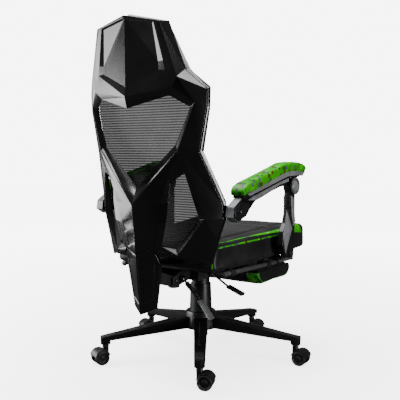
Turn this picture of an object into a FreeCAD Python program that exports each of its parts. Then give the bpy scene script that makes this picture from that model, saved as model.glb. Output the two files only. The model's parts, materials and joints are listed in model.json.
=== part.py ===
import FreeCAD, Part
import math
import os
import re
import Sketcher

from FreeCAD import Placement, Rotation, Vector

# Gaming chair, modelled in its own frame: +Z up, the sitter faces -Y, the origin is on the floor on the
# axis of the gas lift. Lengths are in millimetres and angles in degrees.

SIZES = {
    # star base
    "base_radius": 340,          # castor stems, from the lift's axis
    "base_turn": 123.6,          # direction of the first arm, counter-clockwise from +X
    "hub_low": 100, "hub_high": 160, "hub_radius_low": 58, "hub_radius_high": 52,
    "spoke_start": 30, "spoke_inner_width": 48, "spoke_tip_width": 34, "spoke_tip_extra": 15,
    "spoke_inner_low": 104, "spoke_inner_high": 146, "spoke_tip_low": 78, "spoke_tip_high": 92,
    "socket_low": 67, "socket_radius": 17, "stem_radius": 5.5, "stem_length": 20,
    # castors
    "wheel_radius": 25, "wheel_width": 17, "wheel_gap": 16, "wheel_offset": 20,
    "axle_radius": 4, "hood_width": 13, "hood_radius": 19, "hood_top": 66.4,
    # gas lift and its telescopic cover
    "cylinder_radius": 25, "cylinder_low": 70, "cylinder_high": 240,
    "piston_radius": 14, "piston_low": 100, "piston_high": 316,
    "cover_low_radius": 39.8, "cover_top_radius": 36.3, "cover_base": 160.5, "cover_height": 96,
    "cover_wall": 1.8, "middle_radius": 34.0, "upper_radius": 31.7, "upper_top": 290.5,
    # tilt mechanism
    "housing_half": 75, "housing_front": -80, "housing_rear": 125, "housing_low": 292,
    "housing_wall": 3, "boss_radius": 24, "lever_eye": 7, "lever_pin": 3, "lever_rod": 4,
    "plate_thick": 4, "plate_half": 95, "plate_front": -95, "plate_rear": 115,
    "screw_x": 86, "screw_front": -80, "screw_rear": 100, "screw_radius": 4,
    "knob_radius": 20, "knob_x": 50, "knob_y": 92, "knob_low": 250, "knob_height": 34,
    # seat
    "seat_tilt": 1.67, "seat_low": 354, "seat_front": -338, "seat_rear": 220, "seat_height": 92,
    "seat_front_half": 247, "seat_rear_half": 196, "seat_corner": 24, "seat_edge": 16,
    "board_thick": 10, "board_front": -300, "board_rear": 195, "board_front_half": 215, "board_rear_half": 176,
    # recline hinge and the armrest linkage: four pivots on a parallelogram, seen from the side
    "hinge_y": 205, "hinge_z": 300, "pin_radius": 6, "hinge_plate_out": 41.5,
    "rear_pivot_y": 200, "rear_pivot_z": 539, "front_pivot_y": -167, "front_pivot_z": 601,
    "arm_inner": 250.5, "arm_width": 24, "pad_half_width": 28,
    "barrel_radius": 28, "knob_disc_radius": 29.5,
    # footrest
    "rail_x": 200, "rail_radius": 8, "rod_radius": 6, "rod_clearance": 0.3, "rail_z": 328.5, "rail_tilt": 1.5,
    "rail_rear": 174, "rail_front": -181, "rod_rear": 120, "footrest_pivot_y": -312, "footrest_pivot_z": 320.3,
    "footrest_half": 186, "footrest_front": -331, "footrest_rear": -85, "footrest_low": 250,
    "footrest_high": 305.5, "footrest_edge": 38,
    # back
    "shell_thick": 5, "tail_thick": 14, "frame_width": 24, "mesh_thick": 3,
    "head_half": 119.5, "shoulder_half": 228, "waist_half": 199.5, "hip_half": 239, "foot_half": 193.5,
    "bracket_inner": 28, "bracket_plate": 6,
}

CASTOR_TURNS = [201, 181, 190, 60, 67]   # how each castor happens to trail
SIDES = {"right": -1, "left": 1}         # the sitter's right is -X
HEIGHT_LEVER = [(-83, 60, 312), (-147, 60, 274), (-207, 60, 252)]      # pivot, bend and end of the paddle
RECLINE_LEVER = [(-50, 178, 308), (-116, 178, 247), (-162, 178, 190)]

doc = FreeCAD.newDocument("gaming_chair")
sheet = doc.addObject("Spreadsheet::Sheet", "Sizes")
for row, (alias, value) in enumerate(SIZES.items(), start=1):
    sheet.set("A%d" % row, alias)
    sheet.set("B%d" % row, str(value))
    sheet.setAlias("B%d" % row, alias)
doc.recompute()

subparts = []


def size(alias):
    """Read one driving dimension from the sheet."""
    return float(getattr(sheet, alias))


def over_sheet(text):
    """Turn a formula over alias names into an expression over the sheet."""
    def named(match):
        word = match.group()
        return "Sizes." + word if word in SIZES else word
    return re.sub(r"[a-z_]+", named, str(text))


def bind(item, **formulas):
    """Bind properties of an object to formulas over the sheet."""
    for name, text in formulas.items():
        item.setExpression(name, over_sheet(text))
    return item


def put(item, x=0, y=0, z=0, turn=None):
    """Turn an object and bind its position to formulas."""
    if turn is not None:
        item.Placement = Placement(Vector(0, 0, 0), turn)
    for name, text in (("x", x), ("y", y), ("z", z)):
        item.setExpression("Placement.Base." + name, over_sheet(text))
    return item


def new(kind, name):
    """Add an object to the document."""
    return doc.addObject(kind, name)


def box(name, length, width, height, x=0, y=0, z=0, turn=None):
    """Box whose sides and low corner are formulas."""
    item = bind(new("Part::Box", name), Length=length, Width=width, Height=height)
    return put(item, x, y, z, turn)


def cylinder(name, radius, height, x=0, y=0, z=0, turn=None):
    """Cylinder that rises from its low end."""
    item = bind(new("Part::Cylinder", name), Radius=radius, Height=height)
    return put(item, x, y, z, turn)


def cone(name, low_radius, high_radius, height, z):
    """Upright cone on the lift's axis."""
    item = bind(new("Part::Cone", name), Radius1=low_radius, Radius2=high_radius, Height=height)
    return put(item, 0, 0, z)


def wedge(name, near, far, y_near, y_far, z=0, turn=None):
    """Block that tapers along Y. near and far are (half width, low, high)."""
    item = bind(new("Part::Wedge", name), Xmin="-(%s)" % near[0], Xmax=near[0], Zmin=near[1], Zmax=near[2],
                X2min="-(%s)" % far[0], X2max=far[0], Z2min=far[1], Z2max=far[2], Ymin=y_near, Ymax=y_far)
    return put(item, 0, 0, z, turn)


def fuse(name, items):
    """Union of several objects."""
    item = new("Part::MultiFuse", name)
    item.Shapes = items
    return item


def cut(name, base, tools):
    """Base minus one or more tools."""
    item = new("Part::Cut", name)
    item.Base = base
    item.Tool = tools[0] if len(tools) == 1 else fuse(name + "_tools", tools)
    return item


def group(name, items):
    """Separate solids kept in one node."""
    item = new("Part::Compound", name)
    item.Links = items
    return item


def subpart(item, label):
    """Register an object as a sub-part, under its node name."""
    item.Label = label
    subparts.append(item)
    return item


def about(axis, angle):
    """Rotation about an axis."""
    return Rotation(Vector(*axis), angle)


ALONG_X = about((0, 1, 0), 90)
SEAT_TURN = about((1, 0, 0), -size("seat_tilt"))
RAIL_TURN = about((1, 0, 0), 90 + size("rail_tilt"))


def across(name, radius, start, end, y, z):
    """Cylinder along X from one x to another."""
    return cylinder(name, radius, "(%s) - (%s)" % (end, start), start, y, z, ALONG_X)


def sided(side, inner, outer):
    """Low and high x of a span that lies inner to outer from the middle plane."""
    if side > 0:
        return inner, outer
    return "-(%s)" % outer, "-(%s)" % inner


def plate(label, outline, start, end):
    """Body padded along X from an outline of (y, z) formulas."""
    body = new("PartDesign::Body", label)
    sketch = body.newObject("Sketcher::SketchObject", label + "_outline")
    plane = [item for item in body.Origin.OriginFeatures if item.Role == "YZ_Plane"][0]
    sketch.AttachmentSupport = [(plane, "")]
    sketch.MapMode = "FlatFace"
    doc.recompute()
    spots = []
    for y_text, z_text in outline:
        spots.append(Vector(formula_value(y_text), formula_value(z_text), 0))
    count = len(spots)
    for index in range(count):
        sketch.addGeometry(Part.LineSegment(spots[index], spots[(index + 1) % count]), False)
    for index in range(count):
        sketch.addConstraint(Sketcher.Constraint("Coincident", index, 2, (index + 1) % count, 1))
    for index, (y_text, z_text) in enumerate(outline):
        for kind, text, value in (("DistanceX", y_text, spots[index].x), ("DistanceY", z_text, spots[index].y)):
            number = sketch.addConstraint(Sketcher.Constraint(kind, -1, 1, index, 1, value))
            sketch.setExpression("Constraints[%d]" % number, over_sheet(text))
    pad = body.newObject("PartDesign::Pad", label + "_pad")
    pad.Profile = sketch
    bind(pad, Length="(%s) - (%s)" % (end, start))
    body.Tip = pad
    put(body, start, 0, 0)
    return body


def formula_value(text):
    """Number that a formula over alias names gives."""
    return float(sheet.evalExpression(over_sheet(text)))


def tube(name, outer, inner, height, z):
    """Upright tube on the lift's axis."""
    rim = cylinder(name + "_rim", outer, height, 0, 0, z)
    bore = cylinder(name + "_bore", inner, "%s + 2" % height, 0, 0, "%s - 1" % z)
    return cut(name, rim, [bore])


def build_base():
    """Five-arm star base, the lift's outer cylinder and the lowest stage of its cover."""
    solids = [cone("hub", "hub_radius_low", "hub_radius_high", "hub_high - hub_low", "hub_low")]
    holes = [cylinder("hub_bore", "cylinder_radius + 0.05", "hub_high", 0, 0, "hub_low - 20")]
    inner = ("spoke_inner_width / 2", "spoke_inner_low", "spoke_inner_high")
    tip = ("spoke_tip_width / 2", "spoke_tip_low", "spoke_tip_high")
    for number in range(1, 6):
        angle = size("base_turn") + 72 * (number - 1)
        turn = about((0, 0, 1), angle - 90)
        solids.append(wedge("spoke_%d" % number, inner, tip, "spoke_start",
                            "base_radius + spoke_tip_extra", 0, turn))
        x = "base_radius * cos(%s)" % angle
        y = "base_radius * sin(%s)" % angle
        solids.append(cylinder("socket_%d" % number, "socket_radius", "spoke_tip_high - socket_low - 1",
                               x, y, "socket_low"))
        holes.append(cylinder("stem_hole_%d" % number, "stem_radius + 0.08", "stem_length + 2", x, y,
                              "socket_low - 1"))
    subpart(cut("star", fuse("star_solid", solids), holes), "star_base")

    barrel = cylinder("barrel", "cylinder_radius", "cylinder_high - cylinder_low", 0, 0, "cylinder_low")
    bore = cylinder("barrel_bore", "piston_radius + 0.08", "cylinder_high", 0, 0, "cylinder_low + 15")
    subpart(cut("lift_cylinder", barrel, [bore]), "gas_lift_cylinder")

    skirt = cone("skirt", "cover_low_radius", "cover_top_radius", "cover_height", "cover_base")
    inside = cylinder("skirt_bore", "cover_top_radius - cover_wall", "cover_height + 2", 0, 0, "cover_base - 1")
    subpart(cut("skirt_shell", skirt, [inside]), "cover_lower")


def build_castors():
    """Five twin-wheel castors: a hood with its stem, and two wheels on an axle."""
    for number, trail in enumerate(CASTOR_TURNS, start=1):
        angle = size("base_turn") + 72 * (number - 1)
        tag = "_%d" % number
        stem_x = "base_radius * cos(%s)" % angle
        stem_y = "base_radius * sin(%s)" % angle
        wheel_x = "%s + wheel_offset * cos(%s)" % (stem_x, trail)
        wheel_y = "%s + wheel_offset * sin(%s)" % (stem_y, trail)
        axle_turn = about((0, 0, 1), trail + 90).multiply(ALONG_X)
        along = Vector(-math.sin(math.radians(trail)), math.cos(math.radians(trail)), 0)

        def axial(name, radius, width, middle):
            """Cylinder on the axle, its middle at a distance from the castor's middle plane."""
            shift = "(%s - (%s) / 2)" % (middle, width)
            return cylinder(name + tag, radius, width, "%s + %s * %.6f" % (wheel_x, shift, along.x),
                            "%s + %s * %.6f" % (wheel_y, shift, along.y), "wheel_radius", axle_turn)

        disc = axial("hood_disc", "hood_radius", "hood_width", "0")
        boss = cylinder("hood_boss" + tag, "11", "hood_top - 50.6", stem_x, stem_y, "50.6")
        stem = cylinder("stem" + tag, "stem_radius", "stem_length + socket_low - 52", stem_x, stem_y, "52")
        neck = box("hood_neck" + tag, "29", "hood_width", "27",
                   "%s + (-9) * %.6f - hood_width / 2 * %.6f" % (stem_x, along.y, along.x),
                   "%s + 9 * %.6f - hood_width / 2 * %.6f" % (stem_y, along.x, along.y), "27",
                   about((0, 0, 1), trail))
        bore = axial("hood_bore", "axle_radius + 0.08", "hood_width + 20", "0")
        arch = axial("fender_arch", "wheel_radius + 3.2", "wheel_gap + 2 * wheel_width - 1", "0")
        under = axial("fender_under", "wheel_radius + 1.2", "80", "0")
        below = box("fender_below" + tag, "120", "120", "42", "%s - 60" % wheel_x, "%s - 60" % wheel_y, "-10")
        fender = cut("fender" + tag, arch, [under, below])
        subpart(cut("hood" + tag, fuse("hood_solid" + tag, [disc, boss, stem, neck, fender]), [bore]),
                "castor_hood" + tag)

        wheels = []
        for place, sign in (("near", 1), ("far", -1)):
            middle = "%d * (wheel_gap + wheel_width) / 2" % sign
            tyre = axial("wheel_" + place, "wheel_radius", "wheel_width", middle)
            hole = axial("wheel_hole_" + place, "axle_radius", "wheel_width + 2", middle)
            wheels.append(cut("wheel_cut_" + place + tag, tyre, [hole]))
        axle = axial("axle", "axle_radius", "wheel_gap + 2 * wheel_width - 4", "0")
        subpart(group("wheels" + tag, wheels + [axle]), "castor_wheels" + tag)


def build_lift():
    """Moving stages of the dust cover, and the piston rod that carries the seat."""
    subpart(tube("middle", "middle_radius", "middle_radius - cover_wall", "cover_height", "cover_base + 1"),
            "cover_middle")
    upper = cylinder("upper_rim", "upper_radius", "upper_top - 168", 0, 0, "168")
    bore = cylinder("upper_bore", "upper_radius - 5", "upper_top - 168 - 4", 0, 0, "168")
    hole = cylinder("upper_hole", "piston_radius + 0.05", "40", 0, 0, "upper_top - 20")
    subpart(cut("upper", upper, [bore, hole]), "cover_upper")
    subpart(cylinder("piston", "piston_radius", "piston_high - piston_low", 0, 0, "piston_low"),
            "gas_lift_piston")


def lever_clevis(name, start, pivot):
    """Two ears and a pin on which a lever turns, reaching out towards -X from a wall."""
    x, y, z = pivot
    reach = "%s - (%s)" % (-x + 5, start)
    parts = []
    for place, low in (("front", y - 11), ("rear", y + 7.4)):
        parts.append(box("%s_ear_%s" % (name, place), reach, "3.6", "12", x - 5, low, z - 6))
    parts.append(cylinder(name + "_lever_pin", "lever_pin", "20", x, y - 10, z, about((1, 0, 0), -90)))
    return parts


def build_mechanism():
    """Tilt mechanism under the seat, with its knob and the recline hinge's fixed brackets."""
    under_plate = "seat_low - 0.05 - (board_thick + plate_thick) / cos(seat_tilt) - %s * tan(seat_tilt)"
    outer = wedge("housing_outer", ("housing_half", "housing_low", under_plate % "housing_front"),
                  ("housing_half", "housing_low", under_plate % "housing_rear"), "housing_front",
                  "housing_rear")
    hollow = box("housing_hollow", "2 * (housing_half - housing_wall)",
                 "housing_rear - housing_front - 2 * housing_wall", "80", "housing_wall - housing_half",
                 "housing_front + housing_wall", "housing_low + housing_wall")
    tray = cut("housing_tray", outer, [hollow])
    boss = cylinder("boss", "boss_radius", "38", 0, 0, "housing_low + 1")
    socket = cylinder("boss_socket", "piston_radius + 0.08", "piston_high - housing_low + 2", 0, 0,
                      "housing_low - 1")
    knob_hole = cylinder("knob_hole", "5.3", "10", "knob_x", "knob_y", "housing_low - 2")
    clevis = lever_clevis("height", "housing_half - 1", HEIGHT_LEVER[0])
    subpart(cut("housing", fuse("housing_solid", [tray, boss] + clevis), [socket, knob_hole]),
            "tilt_housing")

    spring = cylinder("spring_outer", "12", "30", "knob_x", "knob_y", "housing_low + housing_wall")
    inside = cylinder("spring_inner", "7", "32", "knob_x", "knob_y", "housing_low + housing_wall - 1")
    subpart(cut("spring", spring, [inside]), "tilt_spring")

    grip = cylinder("knob_grip", "knob_radius", "knob_height", "knob_x", "knob_y", "knob_low")
    shaft = cylinder("knob_shaft", "5", "46 + knob_height", "knob_x", "knob_y", "knob_low")
    subpart(fuse("knob", [grip, shaft]), "tension_knob")

    outline = [("housing_rear", "hinge_z - 4"), ("housing_rear", "hinge_z + 34"),
               ("hinge_y - 40", "hinge_z + 34"), ("hinge_y + 16", "hinge_z + 14"),
               ("hinge_y + 16", "hinge_z - 12"), ("hinge_y - 6", "hinge_z - 18")]
    brackets = []
    for name, side in SIDES.items():
        low, high = sided(side, "hinge_plate_out - 5", "hinge_plate_out")
        flat = plate("hinge_plate_" + name, outline, low, high)
        eye = across("hinge_eye_" + name, "pin_radius + 0.02", "-50", "50", "hinge_y", "hinge_z")
        if side < 0:
            flat = fuse("hinge_clevis", [flat] + lever_clevis("recline", "hinge_plate_out - 1",
                                                              RECLINE_LEVER[0]))
        brackets.append(cut("hinge_bracket_" + name, flat, [eye]))
    subpart(group("hinge_plates", brackets), "hinge_brackets")
    subpart(across("hinge_rod", "pin_radius", "-46", "46", "hinge_y", "hinge_z"), "recline_pin")


def seat_frame(item, x=0, y=0, z=0):
    """Place an object in the seat's own tilted frame."""
    offset = SEAT_TURN.multVec(Vector(formula_value(x), formula_value(y), formula_value(z)))
    return put(item, offset.x, offset.y, "seat_low + %.4f" % offset.z, SEAT_TURN)


def build_seat():
    """Seat cushion on its board, the mechanism's top plate and the screws between them."""
    block = wedge("cushion_block", ("seat_front_half", "0", "seat_height"),
                  ("seat_rear_half", "0", "seat_height"), "seat_front", "seat_rear")
    seat_frame(block)
    doc.recompute()
    upright = []
    rims = []
    top = size("seat_height")
    for index, edge in enumerate(block.Shape.Edges, start=1):
        local = block.Placement.inverse()
        ends = [local.multVec(vertex.Point) for vertex in edge.Vertexes]
        if abs(ends[0].z - ends[1].z) > top / 2:
            upright.append((index, size("seat_corner"), size("seat_corner")))
    corners = new("Part::Fillet", "cushion_corners")
    corners.Base = block
    corners.Edges = upright
    doc.recompute()
    for index, edge in enumerate(corners.Shape.Edges, start=1):
        local = block.Placement.inverse()
        ends = [local.multVec(vertex.Point) for vertex in edge.Vertexes]
        if min(end.z for end in ends) > top - 0.01:
            rims.append((index, size("seat_edge"), size("seat_edge")))
    cushion = new("Part::Fillet", "cushion_rounded")
    cushion.Base = corners
    cushion.Edges = rims
    subpart(cushion, "seat_cushion")

    board = wedge("board_block", ("board_front_half", "-board_thick", "0"),
                  ("board_rear_half", "-board_thick", "0"), "board_front", "board_rear")
    seat_frame(board)
    sheet_metal = seat_frame(box("plate_block", "2 * plate_half", "plate_rear - plate_front", "plate_thick"),
                             "-plate_half", "plate_front", "-board_thick - plate_thick")
    screws = []
    board_holes = []
    plate_holes = []
    for side_name, side in SIDES.items():
        for row_name in ("front", "rear"):
            tag = "_%s_%s" % (side_name, row_name)
            x = "-screw_x" if side < 0 else "screw_x"
            y = "screw_" + row_name
            head = cylinder("screw_head" + tag, "screw_radius + 3", "3.5")
            seat_frame(head, x, y, "-board_thick - plate_thick - 3.5")
            shank = cylinder("screw_shank" + tag, "screw_radius", "plate_thick + 9")
            seat_frame(shank, x, y, "-board_thick - plate_thick - 1")
            screws.append(fuse("screw" + tag, [head, shank]))
            for holes, name in ((board_holes, "board_hole"), (plate_holes, "plate_hole")):
                hole = cylinder(name + tag, "screw_radius + 0.05", "plate_thick + 8.2")
                holes.append(seat_frame(hole, x, y, "-board_thick - plate_thick - 0.1"))
    subpart(cut("board", board, board_holes), "seat_board")
    subpart(cut("top_plate", sheet_metal, plate_holes), "mechanism_plate")
    subpart(group("screws", screws), "seat_screws")


def build_levers():
    """Height lever and recline lever, both at the sitter's right hand."""
    for name, points, sleeve_radius in (("height_lever", HEIGHT_LEVER, 0), ("recline_lever", RECLINE_LEVER, 8)):
        pivot, bend, end = [Vector(*point) for point in points]
        run = bend - pivot
        turn = Rotation(Vector(0, 0, 1), run)
        rod = cylinder(name + "_shaft", "lever_rod", "%.3f" % run.Length, pivot.x, pivot.y, pivot.z, turn)
        eye = cylinder(name + "_eye", "lever_eye", "14", pivot.x, pivot.y - 7, pivot.z, about((1, 0, 0), -90))
        hole = cylinder(name + "_hole", "lever_pin + 0.08", "20", pivot.x, pivot.y - 10, pivot.z,
                        about((1, 0, 0), -90))
        subpart(cut(name + "_bar", fuse(name + "_solid", [rod, eye]), [hole]), name + "_rod")
        if sleeve_radius:
            low = pivot + run * 0.22
            sleeve = cylinder(name + "_grip", str(sleeve_radius), "%.3f" % (run.Length * 0.76), low.x, low.y,
                              low.z, turn)
            bore = cylinder(name + "_bore", "lever_rod + 0.02", "%.3f" % (run.Length * 0.78), low.x, low.y,
                            low.z, turn)
            subpart(cut(name + "_tube", sleeve, [bore]), name + "_sleeve")
        reach = end - bend
        blade_turn = Rotation(reach, Vector(0, 1, 0), Vector(0, 0, 1), "XYZ")
        corner = bend + reach * 0.05 - Vector(0, 12, 0) - blade_turn.multVec(Vector(0, 0, 5))
        blade = box(name + "_blade", "%.3f" % reach.Length, "24", "10", corner.x, corner.y, corner.z, blade_turn)
        rounded = new("Part::Fillet", name + "_rounded")
        rounded.Base = blade
        doc.recompute()
        rounded.Edges = [(index, 3, 3) for index in range(1, 13)]
        subpart(rounded, name + "_paddle")


def build_footrest():
    """Pull-out footrest: rails under the seat, a sliding rod frame and the padded bolster."""
    def along_rail(name, radius, y_start, length, side):
        """Cylinder on a rail's axis, from one y forwards."""
        slope = math.tan(math.radians(size("rail_tilt")))
        x = "rail_x" if side > 0 else "-rail_x"
        return cylinder(name, radius, length, x, y_start, "rail_z + (%s) * %.6f" % (y_start, slope), RAIL_TURN)

    caps = []
    collars = []
    hangers = []
    rods = []
    for name, side in SIDES.items():
        outer = along_rail("rail_outer_" + name, "rail_radius", "rail_rear", "rail_rear - rail_front", side)
        bore = along_rail("rail_bore_" + name, "rod_radius + rod_clearance", "rail_rear + 1",
                          "rail_rear - rail_front + 3", side)
        subpart(cut("rail_" + name, outer, [bore]), "footrest_rail_" + name)
        caps.append(along_rail("cap_" + name, "rail_radius + 1.5", "rail_rear + 8.1", "8", side))
        ring = along_rail("collar_ring_" + name, "rail_radius + 2", "rail_front - 0.1", "13", side)
        hole = along_rail("collar_hole_" + name, "rod_radius + rod_clearance", "rail_front + 1", "16", side)
        collars.append(cut("collar_" + name, ring, [hole]))
        for place, y in (("front", "-118"), ("rear", "120")):
            saddle = along_rail("saddle_%s_%s" % (place, name), "rail_radius + 4", "%s + 12" % y, "24", side)
            low, high = sided(side, "168", "196")
            under_board = size("seat_low") - size("board_thick") - float(y) * math.tan(
                math.radians(size("seat_tilt")))
            block = box("hanger_block_%s_%s" % (place, name), "28", "24", "%.3f - 325" % (under_board - 0.5),
                        low, "%s - 12" % y, "325")
            hole = along_rail("hanger_hole_%s_%s" % (place, name), "rail_radius + 0.02", "%s + 14" % y, "28",
                              side)
            solid = fuse("hanger_solid_%s_%s" % (place, name), [saddle, block])
            hangers.append(cut("hanger_%s_%s" % (place, name), solid, [hole]))
        rods.append(along_rail("rod_" + name, "rod_radius", "rod_rear", "rod_rear - footrest_pivot_y", side))
        elbow = bind(new("Part::Sphere", "elbow_" + name), Radius="rod_radius + 1")
        rods.append(put(elbow, "rail_x" if side > 0 else "-rail_x", "footrest_pivot_y", "footrest_pivot_z"))
    subpart(group("caps", caps), "rail_end_caps")
    subpart(group("collars", collars), "rail_collars")
    subpart(group("hangers", hangers), "rail_hangers")
    rods.append(across("cross_rod", "rod_radius", "-rail_x", "rail_x", "footrest_pivot_y", "footrest_pivot_z"))
    subpart(fuse("slide_frame", rods), "footrest_slide_frame")

    panel = box("foot_panel", "2 * (footrest_half - 11)", "footrest_rear - footrest_front - 16", "8",
                "11 - footrest_half", "footrest_front + 8", "footrest_high")
    lugs = []
    holes = []
    for name, side in SIDES.items():
        low, high = sided(side, "131", "149")
        lugs.append(across("foot_lug_" + name, "10", low, high, "footrest_pivot_y", "footrest_pivot_z"))
    holes.append(across("foot_lug_hole", "rod_radius + 0.08", "-160", "160", "footrest_pivot_y",
                        "footrest_pivot_z"))
    subpart(cut("foot_board", fuse("foot_board_solid", [panel] + lugs), holes), "footrest_board")

    block = box("bolster_block", "2 * footrest_half", "footrest_rear - footrest_front",
                "footrest_high - footrest_low", "-footrest_half", "footrest_front", "footrest_low")
    doc.recompute()
    bolster = new("Part::Fillet", "bolster_rounded")
    bolster.Base = block
    low_edges = []
    for index, edge in enumerate(block.Shape.Edges, start=1):
        heights = [vertex.Point.z for vertex in edge.Vertexes]
        spread = abs(edge.Vertexes[0].Point.x - edge.Vertexes[1].Point.x)
        if max(heights) < size("footrest_low") + 1 and spread > 10:
            low_edges.append((index, size("footrest_edge"), size("footrest_edge")))
    bolster.Edges = low_edges
    subpart(bolster, "footrest_cushion")


def build_armrests():
    """Linked armrests: seat bracket, strut, moulded arm, pad and pivot knob on each side."""
    outer = "arm_inner + arm_width"
    arm_outline = [
        ("rear_pivot_y + 29", "rear_pivot_z + 13"), ("rear_pivot_y + 34", "rear_pivot_z - 16"),
        ("rear_pivot_y + 3", "rear_pivot_z - 31"), ("rear_pivot_y - 45", "rear_pivot_z - 17"),
        ("rear_pivot_y - 69", "rear_pivot_z + 4"), ("rear_pivot_y - 100", "rear_pivot_z + 26"),
        ("56", "574"), ("-11", "591"), ("-75", "603"),
        ("front_pivot_y + 31", "front_pivot_z + 4"), ("front_pivot_y + 22", "front_pivot_z + 24"),
        ("front_pivot_y", "front_pivot_z + 32"), ("front_pivot_y - 22", "front_pivot_z + 27"),
        ("front_pivot_y - 50", "front_pivot_z + 32"), ("front_pivot_y - 60", "front_pivot_z + 47"),
        ("front_pivot_y + 2", "front_pivot_z + 52.5"), ("-111", "652"), ("-56", "642"),
        ("181", "586"), ("rear_pivot_y - 13", "rear_pivot_z + 37")]
    pad_outline = [
        ("186", "585.5"), ("-56", "642.6"), ("-111", "652.6"), ("front_pivot_y + 2", "654.2"), ("-227", "648.7"),
        ("-245", "656"), ("-241", "668"), ("-218", "679"), ("-180", "684"), ("-130", "685"), ("-92", "682"),
        ("-50", "672.5"), ("155", "624"), ("180", "613"), ("189", "599")]
    strut_y = "front_pivot_y + hinge_y - rear_pivot_y"
    strut_z = "front_pivot_z + hinge_z - rear_pivot_z"
    pins = []
    rear_pins = []
    for name, side in SIDES.items():
        low, high = sided(side, "arm_inner", outer)
        beam = plate("beam_" + name, arm_outline, low, high)
        ears = []
        for place, near, far in (("inner", "arm_inner - 4", "arm_inner"), ("outer", outer, outer + " + 4")):
            ear_low, ear_high = sided(side, near, far)
            ears.append(across("ear_%s_%s" % (place, name), "20", ear_low, ear_high, "front_pivot_y",
                               "front_pivot_z"))
            ears.append(box("ear_web_%s_%s" % (place, name), "4", "40", "44", ear_low, "front_pivot_y - 20",
                            "front_pivot_z"))
        rear_hole = across("rear_eye_" + name, "pin_radius + 0.08", *sided(side, "200", "300"),
                           "rear_pivot_y", "rear_pivot_z")
        front_hole = across("front_eye_" + name, "pin_radius + 0.02", *sided(side, "200", "300"),
                            "front_pivot_y", "front_pivot_z")
        subpart(cut("arm_" + name, fuse("arm_solid_" + name, [beam] + ears), [rear_hole, front_hole]),
                "armrest_frame_" + name)

        pad_low, pad_high = sided(side, "arm_inner + arm_width / 2 - pad_half_width",
                                  "arm_inner + arm_width / 2 + pad_half_width")
        subpart(plate("pad_" + name, pad_outline, pad_low, pad_high), "armrest_pad_" + name)

        disc = across("knob_disc_" + name, "knob_disc_radius",
                      *sided(side, outer + " + 4.2", outer + " + 13"), "front_pivot_y", "front_pivot_z")
        shaft = across("knob_bolt_" + name, "pin_radius", *sided(side, "arm_inner - 8", outer + " + 10"),
                       "front_pivot_y", "front_pivot_z")
        subpart(fuse("pivot_knob_" + name, [disc, shaft]), "armrest_knob_" + name)

        strut_outline = [
            (strut_y + " - 14", strut_z + " - 12"), (strut_y + " + 14", strut_z + " - 12"),
            (strut_y + " + 20", strut_z + " + 36"), (strut_y + " + 20", strut_z + " + 200"),
            (strut_y + " + 12", strut_z + " + 222"), (strut_y + " - 22", strut_z + " + 222"),
            (strut_y + " - 22", strut_z + " + 36")]
        strut_low, strut_high = sided(side, "arm_inner + 0.5", outer + " - 0.5")
        leg = plate("leg_" + name, strut_outline, strut_low, strut_high)
        barrel = across("strut_barrel_" + name, "barrel_radius", strut_low, strut_high, "front_pivot_y",
                        "front_pivot_z")
        top_hole = across("strut_top_hole_" + name, "pin_radius + 2", *sided(side, "200", "300"),
                          "front_pivot_y", "front_pivot_z")
        foot_hole = across("strut_foot_hole_" + name, "pin_radius + 0.08", *sided(side, "200", "300"),
                           strut_y, strut_z)
        subpart(cut("strut_" + name, fuse("strut_solid_" + name, [leg, barrel]), [top_hole, foot_hole]),
                "armrest_strut_" + name)

        strap_low, strap_high = sided(side, "100", "246")
        strap = seat_frame(box("strap_" + name, "146", "40", "5"), strap_low, strut_y + " - 20",
                           "-board_thick - 5")
        stand_low, stand_high = sided(side, "241", "246")
        stand = seat_frame(box("stand_" + name, "5", "40", "41"), stand_low, strut_y + " - 20",
                           "-board_thick - 5")
        eye = across("stand_eye_" + name, "pin_radius + 0.02", *sided(side, "200", "300"), strut_y, strut_z)
        subpart(cut("bracket_" + name, fuse("bracket_solid_" + name, [strap, stand]), [eye]),
                "armrest_bracket_" + name)
        pins.append(across("strut_pin_" + name, "pin_radius", *sided(side, "240.5", outer + " + 2"), strut_y,
                           strut_z))

        mount_low, mount_high = sided(side, "226", "arm_inner - 1")
        block = box("mount_block_" + name, "arm_inner - 1 - 226", "35", "34", mount_low, "rear_pivot_y - 15",
                    "rear_pivot_z - 17")
        rear_eye = across("mount_eye_" + name, "pin_radius + 0.02", *sided(side, "200", "300"),
                          "rear_pivot_y", "rear_pivot_z")
        subpart(cut("mount_" + name, block, [rear_eye]), "armrest_mount_" + name)
        rear_pins.append(across("rear_pin_" + name, "pin_radius", *sided(side, "228", outer + " + 2"),
                                "rear_pivot_y", "rear_pivot_z"))
    subpart(group("strut_pins", pins), "armrest_strut_pins")
    subpart(group("rear_pins", rear_pins), "armrest_rear_pins")


def facet_solid(name, rear, triangles, thickness, lips):
    """Solid between a faceted rear surface and the same surface moved forwards.

    lips gives the front corners that lean into a window, so that its edge is a wide chamfer.
    """
    front = [lips.get(index, point - Vector(0, thickness, 0)) for index, point in enumerate(rear)]
    faces = []
    border = {}
    for a, b, c in triangles:
        faces.append(Part.Face(Part.makePolygon([rear[a], rear[b], rear[c], rear[a]])))
        faces.append(Part.Face(Part.makePolygon([front[a], front[b], front[c], front[a]])))
        for edge in ((a, b), (b, c), (c, a)):
            key = tuple(sorted(edge))
            border[key] = border.get(key, 0) + 1
    for (a, b), uses in border.items():
        if uses == 1:
            faces.append(Part.Face(Part.makePolygon([rear[a], rear[b], front[b], rear[a]])))
            faces.append(Part.Face(Part.makePolygon([rear[a], front[b], front[a], rear[a]])))
    return sewn(name, faces)


def sewn(name, faces):
    """Feature whose shape is one solid made of faces."""
    shell = Part.Shell(faces)
    shell.sewShape()
    solid = Part.Solid(shell)
    if solid.Volume < 0:
        solid.reverse()
    item = new("Part::Feature", name)
    item.Shape = solid
    return item


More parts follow.
